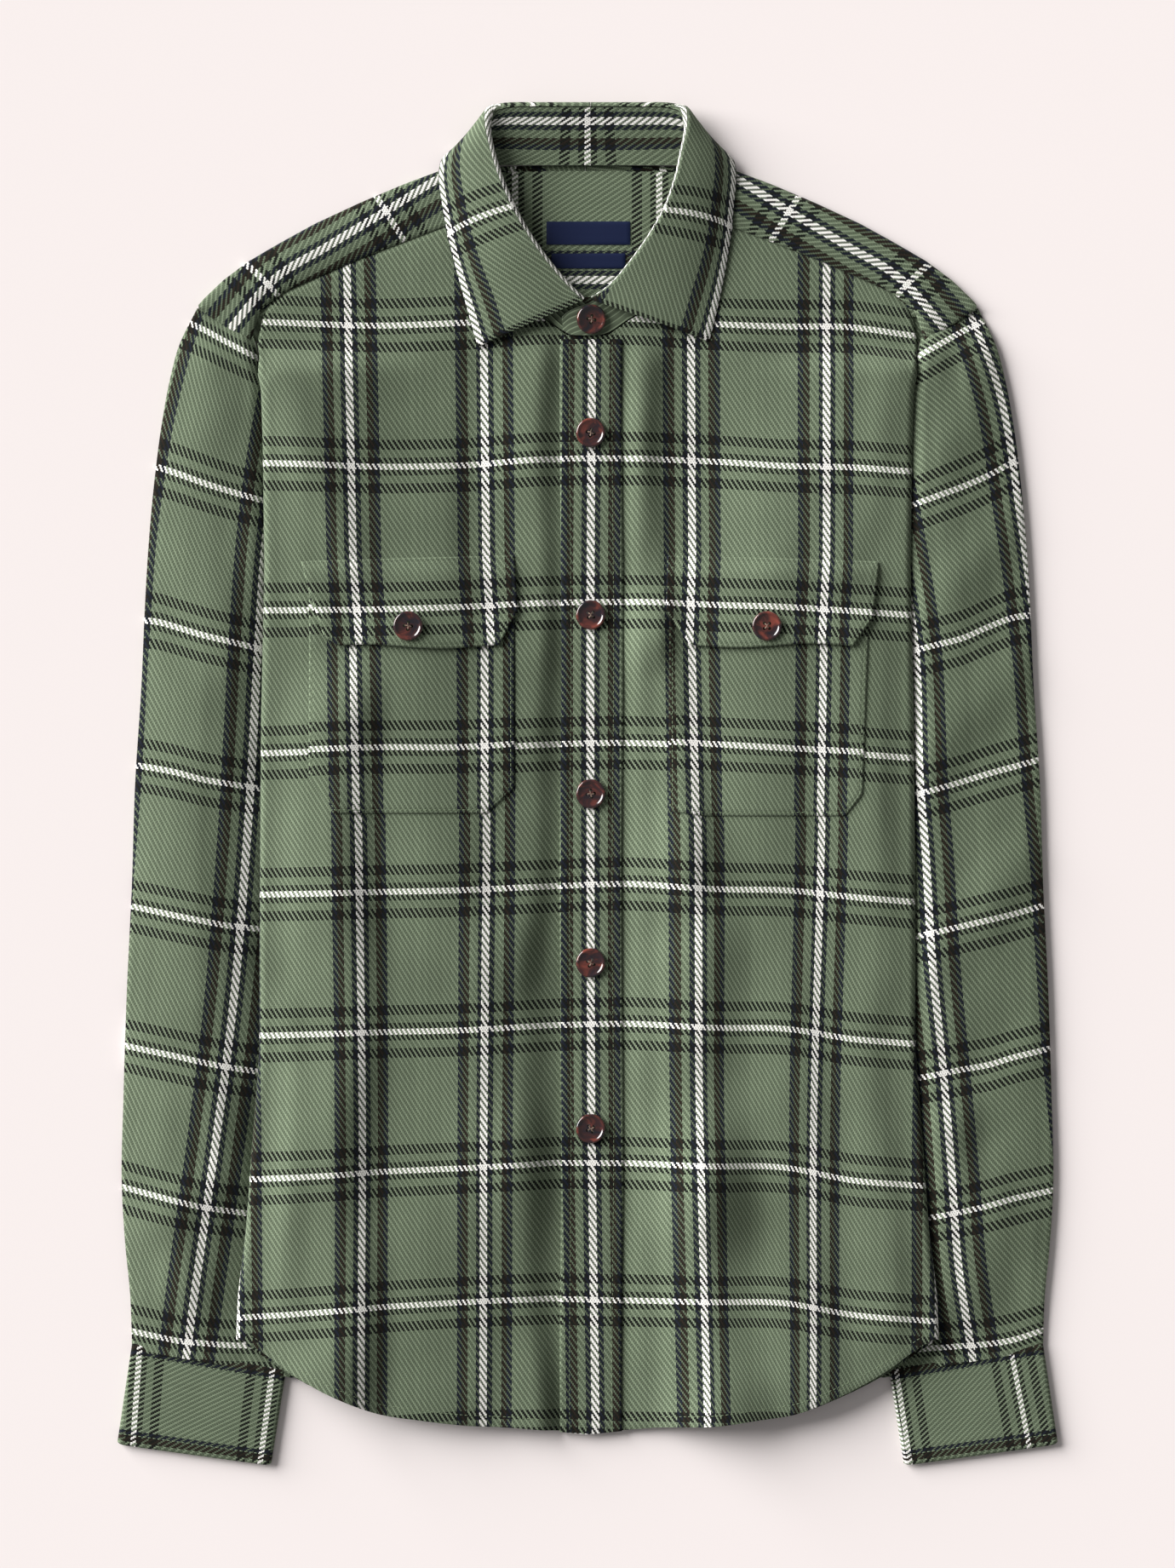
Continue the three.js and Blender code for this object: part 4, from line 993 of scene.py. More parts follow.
# Pockets: edges, towards the side that they lie on, and their slanted foot corners. Flaps: a
# side's place at the top, at the mitre and at the foot, and the mitres' heights.
POCKETS = {
    "left": {"side": -1, "inner": 45, "outer": 172, "top": 114, "foot": -25.5,
             "mitre_inner": (17, 15), "mitre_outer": (15, 21), "warps": LEFT_WARPS},
    "right": {"side": 1, "inner": 50, "outer": 171.5, "top": 114, "foot": -27,
              "mitre_inner": (22, 3), "mitre_outer": (10, 13), "warps": RIGHT_WARPS},
}
FLAPS = {
    "left": {"side": -1, "inner": (45, 43, 54), "outer": (174, 160, 151), "top": 131,
             "foot": 76, "mitre": (97, 82), "warps": LEFT_WARPS, "skew": 0.055},
    "right": {"side": 1, "inner": (49, 48, 63), "outer": (177, 173, 161), "top": 131,
              "foot": 76.5, "mitre": (97, 95), "warps": RIGHT_WARPS, "skew": -0.05},
}


def lay_patch(side, left, right, y_rows, lift, droop, stitch, warps, move=(0, 0), skew=0):
    """Points and cloth places of a patch sewn on a front; left and right give its edges at a
    height, towards the panel's own side."""
    rows = []
    fine = np.array(FINE) * 100 / (right(y_rows[0]) - left(y_rows[0]))
    for y0 in y_rows:
        a, b = left(y0), right(y0)
        x = a + (b - a) * even_steps(100, fine, 2.6, 6) / 100
        rows.append(np.stack([x, np.full_like(x, y0)], -1))
    grid = np.array(rows).transpose(1, 0, 2)
    x, y = grid[..., 0], grid[..., 1]
    edge_in = np.array([left(v) for v in y_rows])[None, :]
    edge_out = np.array([right(v) for v in y_rows])[None, :]
    distance = np.minimum(np.minimum(x - edge_in, edge_out - x), np.minimum(y_rows[0] - y,
                          y - y_rows[-1]))
    y = y + droop(x, y)
    z = front_height(side, x, y) + lift(y) - edge_shape(distance, stitch, 0.28)
    points = np.stack([side * x, y, z], -1)
    cloth = body_cloth(warps, side * x, y)
    cloth[..., 0] += move[0] - skew * (y_rows[0] - y)
    cloth[..., 1] += move[1]
    if side < 0:
        points, cloth = points[::-1], cloth[::-1]
    return points, cloth


def flap_edge(places, mitre, top, foot):
    """A flap's side: straight from the top to the mitre, then slanted to the foot."""
    at_top, at_mitre, at_foot = places

    def edge(y):
        straight = at_mitre + (at_top - at_mitre) * np.clip((y - mitre) / (top - mitre), 0, 1)
        return straight + (at_foot - at_mitre) * np.clip((mitre - y) / (mitre - foot), 0, 1)

    return edge


class SHIRT_OT_pockets(bpy.types.Operator):
    """Sew on the chest pockets and their flaps."""

    bl_idname = "overshirt.pockets"
    bl_label = "Pockets and flaps"

    def execute(self, context):
        for name, p in POCKETS.items():
            (in_w, in_h), (out_w, out_h) = p["mitre_inner"], p["mitre_outer"]
            foot = p["foot"]
            y_rows = p["top"] - even_steps(p["top"] - foot, FINE, 2.6)

            def left(y, p=p, w=in_w, h=in_h, foot=foot):
                return p["inner"] + w * np.clip(1 - (y - foot) / h, 0, 1)

            def right(y, p=p, w=out_w, h=out_h, foot=foot):
                lean = 5 * (1 - (y - foot) / (p["top"] - foot)) if p["side"] > 0 else 3
                return p["outer"] - lean - w * np.clip(1 - (y - foot) / h, 0, 1)

            points, cloth = lay_patch(p["side"], left, right, y_rows,
                                      lambda y: LAYER, lambda x, y: 0 * x, POCKET_STITCH, p["warps"],
                                      (1.2, -1.5))
            patch = add_cloth(f"chest_pocket_{name}", points, cloth, CLOTH, brushed_flannel())
            dress(patch, "flannel", f"pocket_{name}")
        for name, f in FLAPS.items():
            foot = f["foot"]
            top = f["top"]
            y_rows = top - even_steps(top - foot, FINE, 2.4)
            left, right = (flap_edge(f[edge], mitre, top, foot)
                           for edge, mitre in zip(("inner", "outer"), f["mitre"]))

            def droop(x, y, top=top):
                fall = ease(top - 12, top - 50, y)
                across = (x - 45) / 130
                return -4 * across * (1 - fall) + 1.2 * fall * np.cos(across * 9)

            def lift(y, top=top):
                return LAYER * (1 + ease(top - 3, top - 12, y)) + 1.8 * ease(top - 30, top - 54, y)

            points, cloth = lay_patch(f["side"], left, right, y_rows, lift, droop, 1.6,
                                      f["warps"], skew=f["skew"])
            flap = add_cloth(f"pocket_flap_{name}", points, cloth, CLOTH, brushed_flannel())
            dress(flap, "flannel", f"flap_{name}")
        return {"FINISHED"}


# Fullness of a sleeve from its outer edge to the body: left above, left below and right
SLEEVE_FULL = (
    (0, 2.8, 2.8, 1.8), (0.12, 4.4, 4.6, 3.0), (0.3, 5.4, 6.0, 3.2), (0.5, 6.2, 7.2, 4.4),
    (0.7, 6.8, 6.6, 7.0), (0.86, 6.8, 3.8, 7.8), (0.95, 4.4, 1.8, 5.0), (1, 0, 0, 0),
)
# Where a sleeve's cap meets the yoke, and how far its hidden part reaches under the body
CAP_OUTER_X = 238
CAP_INNER_X = 204
HIDDEN_TOP_X = 123
HIDDEN_FOOT_X = 181
# The cuff's corners
CUFF_TOP_OUTER = (278, -349.5)
CUFF_TOP_INNER = (184, -366)
CUFF_FOOT_INNER = (193, -423)
CUFF_FOOT_OUTER = (287, -410)
CUFF_WALL = BAND
CUFF_RADIUS = (CUFF_WALL + GAP) / 2
CUFF_LENGTH = 60


def sleeve_outer_x(y):
    return flow([r[0] for r in OUTER], [r[1] for r in OUTER], y) - HALF


def sleeve_tuck_x(y):
    return body_side(y) - 3


def sleeve_height(side, across, x, y, top):
    """Height of a sleeve's upper layer, flat under the body and full beside it."""
    at_cuff = ease(-310, CUFF_TOP_OUTER[1], y)
    flat = lerp(SLEEVE_HIDDEN_Z, 1.5 * CUFF_WALL + GAP, at_cuff)
    at_cap = ease(top - 34, top, y)
    above, below, right = (read(SLEEVE_FULL, across, column) for column in (1, 2, 3))
    full = lerp(above, below, ease(120, 20, y)) if side < 0 else right
    full = full * (1 - 0.75 * at_cuff)
    mirror = fold_height(SLEEVE_FOLDS, side * x, y, side)
    waves = ripple(side * x, y, 0.8, 31 + side)
    calm = (1 - at_cap) * (1 - at_cuff) * ease(0, 0.12, 1 - across)
    height = flat + full * (1 - at_cap) + (mirror + waves) * calm
    return np.maximum(height, lerp(flat, YOKE_FRONT_Z - 1.1, at_cap) * (across < 1))


def sleeve_grid(side):
    rows = steps((1, 150))
    shown = np.concatenate([np.linspace(0, 0.14, 10), np.linspace(0.14, 1, 30)[1:]])
    places_across = [(a, 0.0) for a in shown] + [(1.0, h) for h in np.linspace(0, 1, 15)[1:]]
    yoke_x, yoke_front = [r[0] for r in YOKE], [r[2] for r in YOKE]
    cap_top = np.interp(CAP_OUTER_X, yoke_x, yoke_front) - SEAM

    def column(across, hidden, layer, turn=0.0):
        cap_x = lerp(CAP_OUTER_X, CAP_INNER_X, across)
        tuck = 4.5 * ease(0.02, 0.2, across) * (1 - ease(0.8, 0.97, across))
        if across < 1:
            top = np.interp(cap_x, yoke_x, yoke_front) - SEAM + tuck
        else:
            top = lerp(TURN_TOP_Y, UNDERARM_Y, hidden)
        share = across * 0.62 + hidden * 0.38
        foot = lerp(CUFF_TOP_OUTER[1], CUFF_TOP_INNER[1], share) - 4
        y = lerp(top, foot, rows)
        inner = lerp(HIDDEN_TOP_X, HIDDEN_FOOT_X, ease(UNDERARM_Y, CUFF_TOP_INNER[1], y))
        x = lerp(lerp(sleeve_outer_x(y), sleeve_tuck_x(y), across), inner, hidden)
        high = sleeve_height(side, across, x, y, cap_top)
        high = high - 1.3 * ease(top - 6, top - 2.5, y) * (tuck > 0.3)
        # The outer edge rounds over a width of some 26 mm above and 10 mm below
        from_edge = sleeve_outer_x(y) - x
        rim = 2.6 - 0.8 * ease(-310, -350, y)
        rim = FLOOR_Z + rim * (1 - ease(cap_top - 20, cap_top, y)) + 0.5
        near = np.clip(1 - from_edge / 26, 0, 1)
        upper = rim + (high - rim) * np.sqrt(1 - near**2)
        near = np.clip(1 - from_edge / 10, 0, 1)
        lower = rim + (FLOOR_Z - rim) * np.sqrt(1 - near**2)
        radius = (high - FLOOR_Z) / 2 if hidden == 1 else 0
        if layer == "upper":
            z = upper
        elif layer == "lower":
            z = lower
        else:
            z = FLOOR_Z + radius + radius * np.cos(math.pi * turn)
            x = x - radius * np.sin(math.pi * turn)
        place = sleeve_cloth(side, x, y)
        if layer == "lower":
            edge_u = sleeve_cloth(side, sleeve_outer_x(y), y)[..., 0]
            place = np.stack([2 * edge_u - place[..., 0], place[..., 1]], -1)
        return np.stack([side * x, y, z], -1), place

    made = [column(a, h, "upper") for a, h in places_across]
    middle = column(1.0, 1.0, "turn", 0.5)
    under = [column(a, h, "lower") for a, h in reversed(places_across[1:])]
    closing = column(0, 0, "lower")
    made += [middle] + under
    points = np.array([m[0] for m in made])
    # The cut cloth runs from the hidden edge of the upper layer out and round below
    cloth = np.array([m[1] for m in made] + [closing[1]])
    upper_count = len(places_across) + 1
    cloth[upper_count:, :, 0] += cloth[upper_count - 1, :, 0] - cloth[upper_count, :, 0]
    return points, cloth


class SHIRT_OT_sleeves(bpy.types.Operator):
    """Sew the sleeves, flattened tubes that run under the body."""

    bl_idname = "overshirt.sleeves"
    bl_label = "Sleeves"

    def execute(self, context):
        for side, name in ((-1, "left"), (1, "right")):
            points, cloth = sleeve_grid(side)
            if side > 0:
                points = points[::-1]
                cloth = cloth[::-1]
                points = np.roll(points, 1, 0)
            sleeve = add_cloth(f"sleeve_tube_{name}", points, cloth, CLOTH, brushed_flannel(),
                               ring=True)
            dress(sleeve, "flannel", f"sleeve_{name}")
        return {"FINISHED"}


def cuff_fullness(across, along):
    return 0.9 * np.sin(math.pi * across) ** 0.6 * np.sin(math.pi * along) ** 0.5


class SHIRT_OT_cuffs(bpy.types.Operator):
    """Sew the cuffs, bands that are open at both ends."""

    bl_idname = "overshirt.cuffs"
    bl_label = "Cuffs"

    def execute(self, context):
        corners = [np.array(c, float) for c in
                   (CUFF_TOP_OUTER, CUFF_TOP_INNER, CUFF_FOOT_INNER, CUFF_FOOT_OUTER)]
        for side, name in ((-1, "left"), (1, "right")):
            along = even_steps(CUFF_LENGTH, FINE, 2.6) / CUFF_LENGTH
            radius = CUFF_RADIUS
            inset = radius + CUFF_WALL / 2
            flat = np.concatenate([np.linspace(0, 0.12, 9), np.linspace(0.12, 0.88, 30)[1:-1],
                                   np.linspace(0.88, 1, 9)])
            turns = np.linspace(0, 1, 9)[1:-1]
            course = [(a, 0.0, 0) for a in flat] + [(1.0, t, 1) for t in turns]
            course += [(a, 1.0, 0) for a in flat[::-1]] + [(0.0, t, -1) for t in turns[::-1]]
            columns, places = [], []
            for across, turn, bulge in course:
                outer = lerp(corners[0], corners[3], along[:, None])
                inner = lerp(corners[1], corners[2], along[:, None])
                span = np.linalg.norm(inner - outer, axis=1, keepdims=True)
                inward = (inner - outer) / span
                run = inset + across * (span - 2 * inset)
                run = run + bulge * radius * math.sin(math.pi * turn)
                at = outer + inward * run
                # Foot corners are a little round
                near = np.clip(1 - np.minimum(run, span - run) / 5, 0, 1)[:, 0]
                down = (corners[3] - corners[0]) / np.linalg.norm(corners[3] - corners[0])
                at = at - down * (2.4 * (1 - np.sqrt(1 - near**2)) * along**2)[:, None]
                distance = np.minimum(along, 1 - along) * CUFF_LENGTH
                sunk = edge_shape(distance, 6.5, 0.3)
                full = cuff_fullness(across, along)
                half_height = (radius + full - sunk * 0.6) * math.cos(math.pi * turn)
                z = CUFF_WALL / 2 + radius + half_height
                z = np.maximum(z, CUFF_WALL / 2)
                columns.append(np.stack([side * at[:, 0], at[:, 1], z], -1))
                if side < 0:
                    first, last = lerp(0.03, 0.083, along), lerp(0.94, 0.956, along)
                    v = WEFT_PITCH * (across - first) / (last - first)
                else:
                    first, last = lerp(0.977, 0.983, along), lerp(0.191, 0.166, along)
                    v = WEFT_PITCH * (first - across) / (first - last)
                v = v + bulge * turn * 4
                places.append(np.stack([11 + 1.08 * CUFF_LENGTH * along, v], -1))
            points, cloth = np.array(columns), np.array(places)
            cloth = np.concatenate([cloth, cloth[:1]])
            if side > 0:
                points = np.roll(points[::-1], 1, 0)
                cloth = cloth[::-1]
            cuff = add_cloth(f"cuff_band_{name}", points, cloth, CUFF_WALL, brushed_flannel(),
                             ring=True)
            dress(cuff, "flannel", f"cuff_{name}")
        return {"FINISHED"}


# Collar stations from the middle of the back to the front: neck, roll and outer edge
COLLAR = (
    ((0, 369.4, 3.7), (0, 404, 10), (0, 371.5, 1.1)),
    ((30, 369.4, 3.7), (26, 404, 10), (34, 371.5, 1.1)),
    ((54, 369.4, 3.7), (44, 403.8, 10.2), (60, 372, 1.2)),
    ((66, 369.6, 3.8), (52, 402.6, 10.8), (71, 374, 2)),
    ((72.5, 369.2, 3.9), (57, 400.5, 11.6), (79, 376.5, 3.4)),
    ((75.3, 366.5, 4), (59.6, 394.5, 12.6), (85, 375.5, 4.8)),
    ((76, 361, 4.2), (60, 386.5, 13.6), (89, 370, 6)),
    ((75.2, 352.5, 4.4), (57.5, 374, 14.4), (90, 359, 6)),
    ((73, 339, 4.4), (52.8, 359, 14.8), (88, 344, 5.9)),
    ((68, 322, 4.4), (45, 341, 14.2), (84.5, 325, 5.8)),
    ((58, 301, 4.4), (35, 323.5, 12.8), (79, 303, 5.8)),
    ((42, 286, 4.6), (23, 307, 10.6), (73, 282, 5.8)),
    ((25, 275.5, 4.9), (11.5, 294, 8.6), (67, 261, 5.8)),
    ((14, 268, 4.9), (3.5, 286.5, 7.2), (65, 260, 5.8)),
)
TAB_UPPER = (
    ((6, 265.6, 5.4), (-1, 284.4, 7.8)), ((-3, 265.4, 6.8), (-6, 282.4, 9)),
    ((-10, 265.8, 7.2), (-11.5, 280, 9)), ((-15, 268.5, 7.4), (-15.5, 276.5, 8.6)),
)
TAB_LOWER = (
    ((4, 265.8, 4.2), (-2, 283, 5.4)), ((-8, 265.8, 4.1), (-9, 281, 4.6)),
    ((-15, 268.5, 4.1), (-15, 277, 4.2)),
)
STATION_STEPS = 7
ROLL_RADIUS_COLLAR = 1.35
# From the leaf's tip to its first line, and from the band's middle to its last
LEAF_LINE = 72
BAND_LINE = 147


def along_stations(rows, count):
    """Points between stations, on smooth curves through them."""
    rows = np.array(rows, float)
    places = np.arange(len(rows))
    at = np.linspace(0, len(rows) - 1, (len(rows) - 1) * count + 1)
    flat = rows.reshape(len(rows), -1)
    made = np.stack([flow(places, flat[:, c], at) for c in range(flat.shape[1])], -1)
    return made.reshape(len(at), *rows.shape[1:])


class SHIRT_OT_collar(bpy.types.Operator):
    """Sew the collar: its stand, and the leaf that rolls over and falls."""

    bl_idname = "overshirt.collar"
    bl_label = "Collar"

    def execute(self, context):
        flip = np.array([-1, 1, 1])
        # The right leaf reaches further out at its tip than the left one
        stretched = np.array(COLLAR, float)
        number = np.arange(len(COLLAR))
        stretched[:, 1, 0] += 3 * ease(7, 9, number) * (1 - ease(12, 13, number))
        stretched[:, 2, :2] += ease(7, 12, number)[:, None] * np.array([7.3, 3.3])
        right = stretched[:, :2].tolist() + list(TAB_UPPER)
        left = [s[:2] for s in COLLAR] + list(TAB_LOWER)
        right_side = along_stations(right, STATION_STEPS)
        left_side = along_stations(left, STATION_STEPS) * flip
        stations = np.concatenate([left_side[:0:-1], right_side])
        middle = len(left_side) - 1
        up = np.linspace(0, 1, 13)
        stand = (stations[:, 0][:, None] * (1 - up)[None, :, None]
                 + stations[:, 1][:, None] * up[None, :, None])
        stand[..., 2] -= 0.7 * np.sin(math.pi * up)
        round_v = lengths(stand[:, -4])
        # Past its last line on either side the band's tab stays green
        round_v = np.clip(round_v - round_v[middle], -BAND_LINE, BAND_LINE)
        height = lengths(stand, 1)
        down = height[:, -1:] - height
        number = np.abs(np.arange(len(stations)) - middle) / STATION_STEPS
        offset = lerp(8.3, 0.8, ease(3.5, 7.5, number)) - 20 * ease(11, 12, number)
        round_v = np.broadcast_to(round_v[:, None], down.shape)
        cloth = np.stack([down - offset[:, None], round_v], -1)
        collar_stand = add_cloth("collar_band", stand, cloth, BAND, brushed_flannel())
        dress(collar_stand, "flannel", "collar_stand")

        # The leaf starts at the stand's top edge, rolls over and falls to its outer edge
        count = (len(COLLAR) - 1) * STATION_STEPS + 1
        edges = [along_stations(rows, STATION_STEPS)[:, 2] for rows in (COLLAR, stretched)]
        edges[0] = edges[0] * flip
        du = np.gradient(stand, axis=0)
        dv = np.gradient(stand, axis=1)
        normal = np.cross(du, dv)
        normal = normal / np.linalg.norm(normal, axis=-1, keepdims=True)
        columns = []
        for place in range(1 - count, count):
            i = abs(place)
            edge = edges[int(place >= 0)]
            roll = stand[middle + place, -1]
            upward = roll - stand[middle + place, -4]
            upward = upward / np.linalg.norm(upward)
            outward = -normal[middle + place, -1]
            near = 1 - ease(0, 3, abs(i / STATION_STEPS - 4))
            radius = ROLL_RADIUS_COLLAR + 0.9 * near
            points = []
            for turn in np.linspace(0, 1, 9):
                angle = math.pi * turn
                points.append(roll + upward * (SEAM + radius * math.sin(angle))
                              + outward * radius * (1 - math.cos(angle)))
            fallen = points[-1]
            fullness = 1.9 * ease(5, 7, i / STATION_STEPS)
            for t in steps((0.93, 26), (1, 5))[1:]:
                point = lerp(fallen, edge[i], t)
                near_edge = (1 - t) * np.linalg.norm(edge[i] - fallen)
                point = point + np.array([0, 0, 1]) * (fullness * math.sin(math.pi * t)
                                                       - 0.5 * max(0, 1 - near_edge / 1.6) ** 2)
                points.append(point)
            columns.append(points)
        leaf = np.array(columns)
        walked = lengths(leaf, 1)
        from_edge = walked[:, -1:] - walked
        round_leaf = lengths(leaf[::-1], 0)[::-1]
        number = np.arange(len(leaf)) - (count - 1)
        side = np.sign(number)[:, None]
        from_front = np.minimum(round_leaf, round_leaf[:1] - round_leaf)
        # On the leaf's outer 10 mm the bands are drawn narrower, most at the shoulder, as where the
        # cloth curls away
        past = from_edge - 2.3
        station = np.abs(number)[:, None] / STATION_STEPS
        gain = lerp(1.42, 1.1, ease(9, 12, station))
        past = np.minimum(past, 10) * gain + np.maximum(past - 10, 0)
        u = np.where(side > 0, -past, past)
        v = from_front - LEAF_LINE
        # A white line of the check runs along the fold
        white = np.abs(number) > 3.2 * STATION_STEPS
        u[white, 2:6] = np.linspace(-1.9, 1.9, 4)
        u[white & (side[:, 0] < 0), 3:8] = np.linspace(-1.9, 1.9, 5)
        cloth = np.stack([u, v], -1)
        collar_leaf = add_cloth("collar_fall", leaf, cloth, BAND, brushed_flannel())
        dress(collar_leaf, "flannel", "collar_leaf")
        return {"FINISHED"}


def lathe(profile, sides):
    """Points and faces of a turned shape."""
    angles = np.linspace(0, 2 * math.pi, sides, endpoint=False)
    rings = [np.stack([r * np.cos(angles), r * np.sin(angles), np.full(sides, z)], -1)
             for r, z in profile]
    verts = np.concatenate(rings)
    faces = []
    for ring in range(len(profile) - 1):
        for i in range(sides):
            j = (i + 1) % sides
            a, b = ring * sides, (ring + 1) * sides
            faces.append((a + i, a + j, b + j, b + i))
    return verts, faces


HOLE_PLACE = 2.15
HOLE_RADIUS = 1.0


def button_mesh():
    """A four-hole button with a round rim and a dished middle."""
    s = bpy.context.scene.overshirt_trims
    r, h = s.button_radius, s.button_height
    profile = [(0.0001 * r, 0), (0.8 * r, 0), (0.93 * r, 0.12 * h), (r, 0.42 * h),
               (0.995 * r, 0.66 * h), (0.965 * r, 0.86 * h), (0.915 * r, 0.98 * h),
               (0.87 * r, h), (0.82 * r, 0.95 * h), (0.77 * r, 0.8 * h), (0.7 * r, 0.69 * h),
               (0.55 * r, 0.64 * h), (0.3 * r, 0.62 * h), (0.0001 * r, 0.62 * h)]
    verts, faces = lathe(profile, 48)
    body = bmesh.new()
    made = [body.verts.new(v) for v in verts]
    for face in faces:
        body.faces.new([made[i] for i in face])
    bmesh.ops.remove_doubles(body, verts=body.verts, dist=1e-5)
    bmesh.ops.recalc_face_normals(body, faces=body.faces)
    mesh = bpy.data.meshes.new("button_blank")
    body.to_mesh(mesh)
    body.free()
    blank = bpy.data.objects.new("button_blank", mesh)
    drills = bmesh.new()
    for hole in range(4):
        angle = math.pi / 2 * hole + math.pi / 4
        x, y = HOLE_PLACE * MM * math.cos(angle), HOLE_PLACE * MM * math.sin(angle)
        bmesh.ops.create_cone(drills, cap_ends=True, segments=16, radius1=HOLE_RADIUS * MM,
                              radius2=HOLE_RADIUS * MM, depth=4 * h,
                              matrix=Matrix.Translation((x, y, h / 2)))
    drill_mesh = bpy.data.meshes.new("button_drill")
    drills.to_mesh(drill_mesh)
    drills.free()
    drill = bpy.data.objects.new("button_drill", drill_mesh)
    for made_object in (blank, drill):
        bpy.context.scene.collection.objects.link(made_object)
    cut = blank.modifiers.new("holes", "BOOLEAN")
    cut.operation = "DIFFERENCE"
    cut.object = drill
    cut.solver = "EXACT"
    bpy.context.view_layer.update()
    graph = bpy.context.evaluated_depsgraph_get()
    drilled = bpy.data.meshes.new_from_object(blank.evaluated_get(graph))
    for made_object in (blank, drill):
        bpy.data.objects.remove(made_object, do_unlink=True)
    if len(drilled.polygons) < len(faces) // 2:
        raise RuntimeError("the button's holes couldn't be cut")
    drilled.shade_smooth()
    drilled.set_sharp_from_angle(angle=math.radians(40))
    return drilled


def thread_bars():
    """Two bars of thread from hole to hole, each of two strands."""
    verts, faces = [], []
    for row in (-1, 1):
        for strand in (-0.5, 0.5):
            path = []
            for t in np.linspace(-1, 1, 11):
                lift = 1.95 + 0.55 * math.cos(math.pi * t / 2)
                path.append((1.3 * t, row * 1.34 * abs(t) ** 0.6 + strand * 0.42, lift))
            start, end = path[0], path[-1]
            path = [(start[0] - 0.1, start[1], 0.9), *path, (end[0] + 0.1, end[1], 0.9)]
            base = len(verts)
            for x, y, z in path:
                for a in np.linspace(0, 2 * math.pi, 6, endpoint=False):
                    verts.append((x, y + 0.2 * math.cos(a), z + 0.2 * math.sin(a)))
            for k in range(len(path) - 1):
                for a in range(6):
                    b = (a + 1) % 6
                    lower, upper = base + 6 * k, base + 6 * (k + 1)
                    faces.append((lower + a, upper + a, upper + b, lower + b))
    return np.array(verts), np.array(faces)


FRONT_BUTTONS = 5
BUTTON_TURNS = (0.5, 0.1, 0.9, 0.35, 1.3, 0.7, 0.0, 0.62)


class SHIRT_OT_buttons(bpy.types.Operator):
    """Sew on the buttons."""

    bl_idname = "overshirt.buttons"
    bl_label = "Buttons"

    def execute(self, context):
        blank = button_mesh()
        bars = thread_bars()
        nodes = [f"button_front_{i + 1}" for i in range(FRONT_BUTTONS)]
        nodes += ["button_pocket_left", "button_pocket_right", "button_collar"]
        for number, node in enumerate(nodes):
            low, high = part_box(node)
            centre = (low + high) / 2
            points = np.array([v.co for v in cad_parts[node].data.vertices])
            spread = np.linalg.svd(points - points.mean(0), full_matrices=False)[2]
            normal = Vector(spread[2])
            if normal.z < 0:
                normal.negate()
            turn = Matrix.Rotation(BUTTON_TURNS[number], 4, "Z")
            tilt = Vector((0, 0, 1)).rotation_difference(normal).to_matrix().to_4x4()
            seat = centre - normal * context.scene.overshirt_trims.button_height / 2
            x, y = centre.x / MM, centre.y / MM
            if node != "button_collar":
                reach = context.scene.overshirt_trims.button_radius / MM
                ring = np.linspace(0, 2 * math.pi, 24)
                px = np.append(x + reach * np.cos(ring), x)
                py = np.append(y + reach * np.sin(ring), y)
                if "front" in node:
                    height = placket_height(px, py).max()
                else:
                    side = -1 if "left" in node else 1
                    height = (front_height(side, side * px, py) + 2 * LAYER + 1.3).max()
                seat.z = (height + HALF + 0.15) * MM
            place = Matrix.Translation(seat) @ tilt @ turn
            mesh = blank.copy()
            mesh.name = f"tortoise_{node}"
            mesh.transform(place)
            mesh.materials.append(tortoise_polyester(number + 1))
            piece = bpy.data.objects.new(f"tortoise_{node}", mesh)
            context.scene.collection.objects.link(piece)
            dress(piece, "button", node)
            thread = add_mesh(f"thread_{node}", bars[0], bars[1], button_thread())
            thread.data.transform(place)
            dress(thread, "flannel")
        bpy.data.meshes.remove(blank)
        return {"FINISHED"}


# Middle x and y, width and length of each label as it shows
LABELS = {"main": (0.5, 328, 51, 14), "size": (0.5, 311, 45, 9)}
LABEL_WALL = 0.6
LABEL_Z = 3.35


class SHIRT_OT_labels(bpy.types.Operator):
    """Sew the two bare labels inside the neck."""

    bl_idname = "overshirt.labels"
    bl_label = "Labels"

    def execute(self, context):
        for name, (x, y, width, length) in LABELS.items():
            across = np.linspace(-width / 2, width / 2, 41)
            up = np.linspace(-length / 2, length / 2, 15)
            gx, gy = np.meshgrid(across, up, indexing="ij")
            edge = np.minimum(width / 2 - np.abs(gx), length / 2 - np.abs(gy))
            z = LABEL_Z + 0.16 * np.sin(gx / 9) * (edge > 0)
            z = z - 0.3 * np.clip(1 - edge / 1.2, 0, 1) ** 2
            points = np.stack([gx + x, gy + y, z], -1)
            cloth = np.stack([gx, gy], -1)
            label = add_cloth(f"bare_label_{name}", points, cloth, LABEL_WALL,
                              woven_label())
            dress(label, "label", f"label_{name}")
        return {"FINISHED"}


def walk_path(path, pitch, length):
    """Places and directions of stitches along a path of points in millimetres."""
    path = np.asarray(path, float)
    walked = lengths(path)
    count = int((walked[-1] - length) / pitch)
    starts = (np.arange(count) + 0.5) * walked[-1] / max(count, 1)
    middle = np.stack([np.interp(starts, walked, path[:, c]) for c in range(3)], -1)
    ahead = np.stack([np.interp(starts + length / 2, walked, path[:, c]) for c in range(3)], -1)
    behind = np.stack([np.interp(starts - length / 2, walked, path[:, c]) for c in range(3)], -1)
    direction = ahead - behind
    return middle, direction / np.linalg.norm(direction, axis=1, keepdims=True)


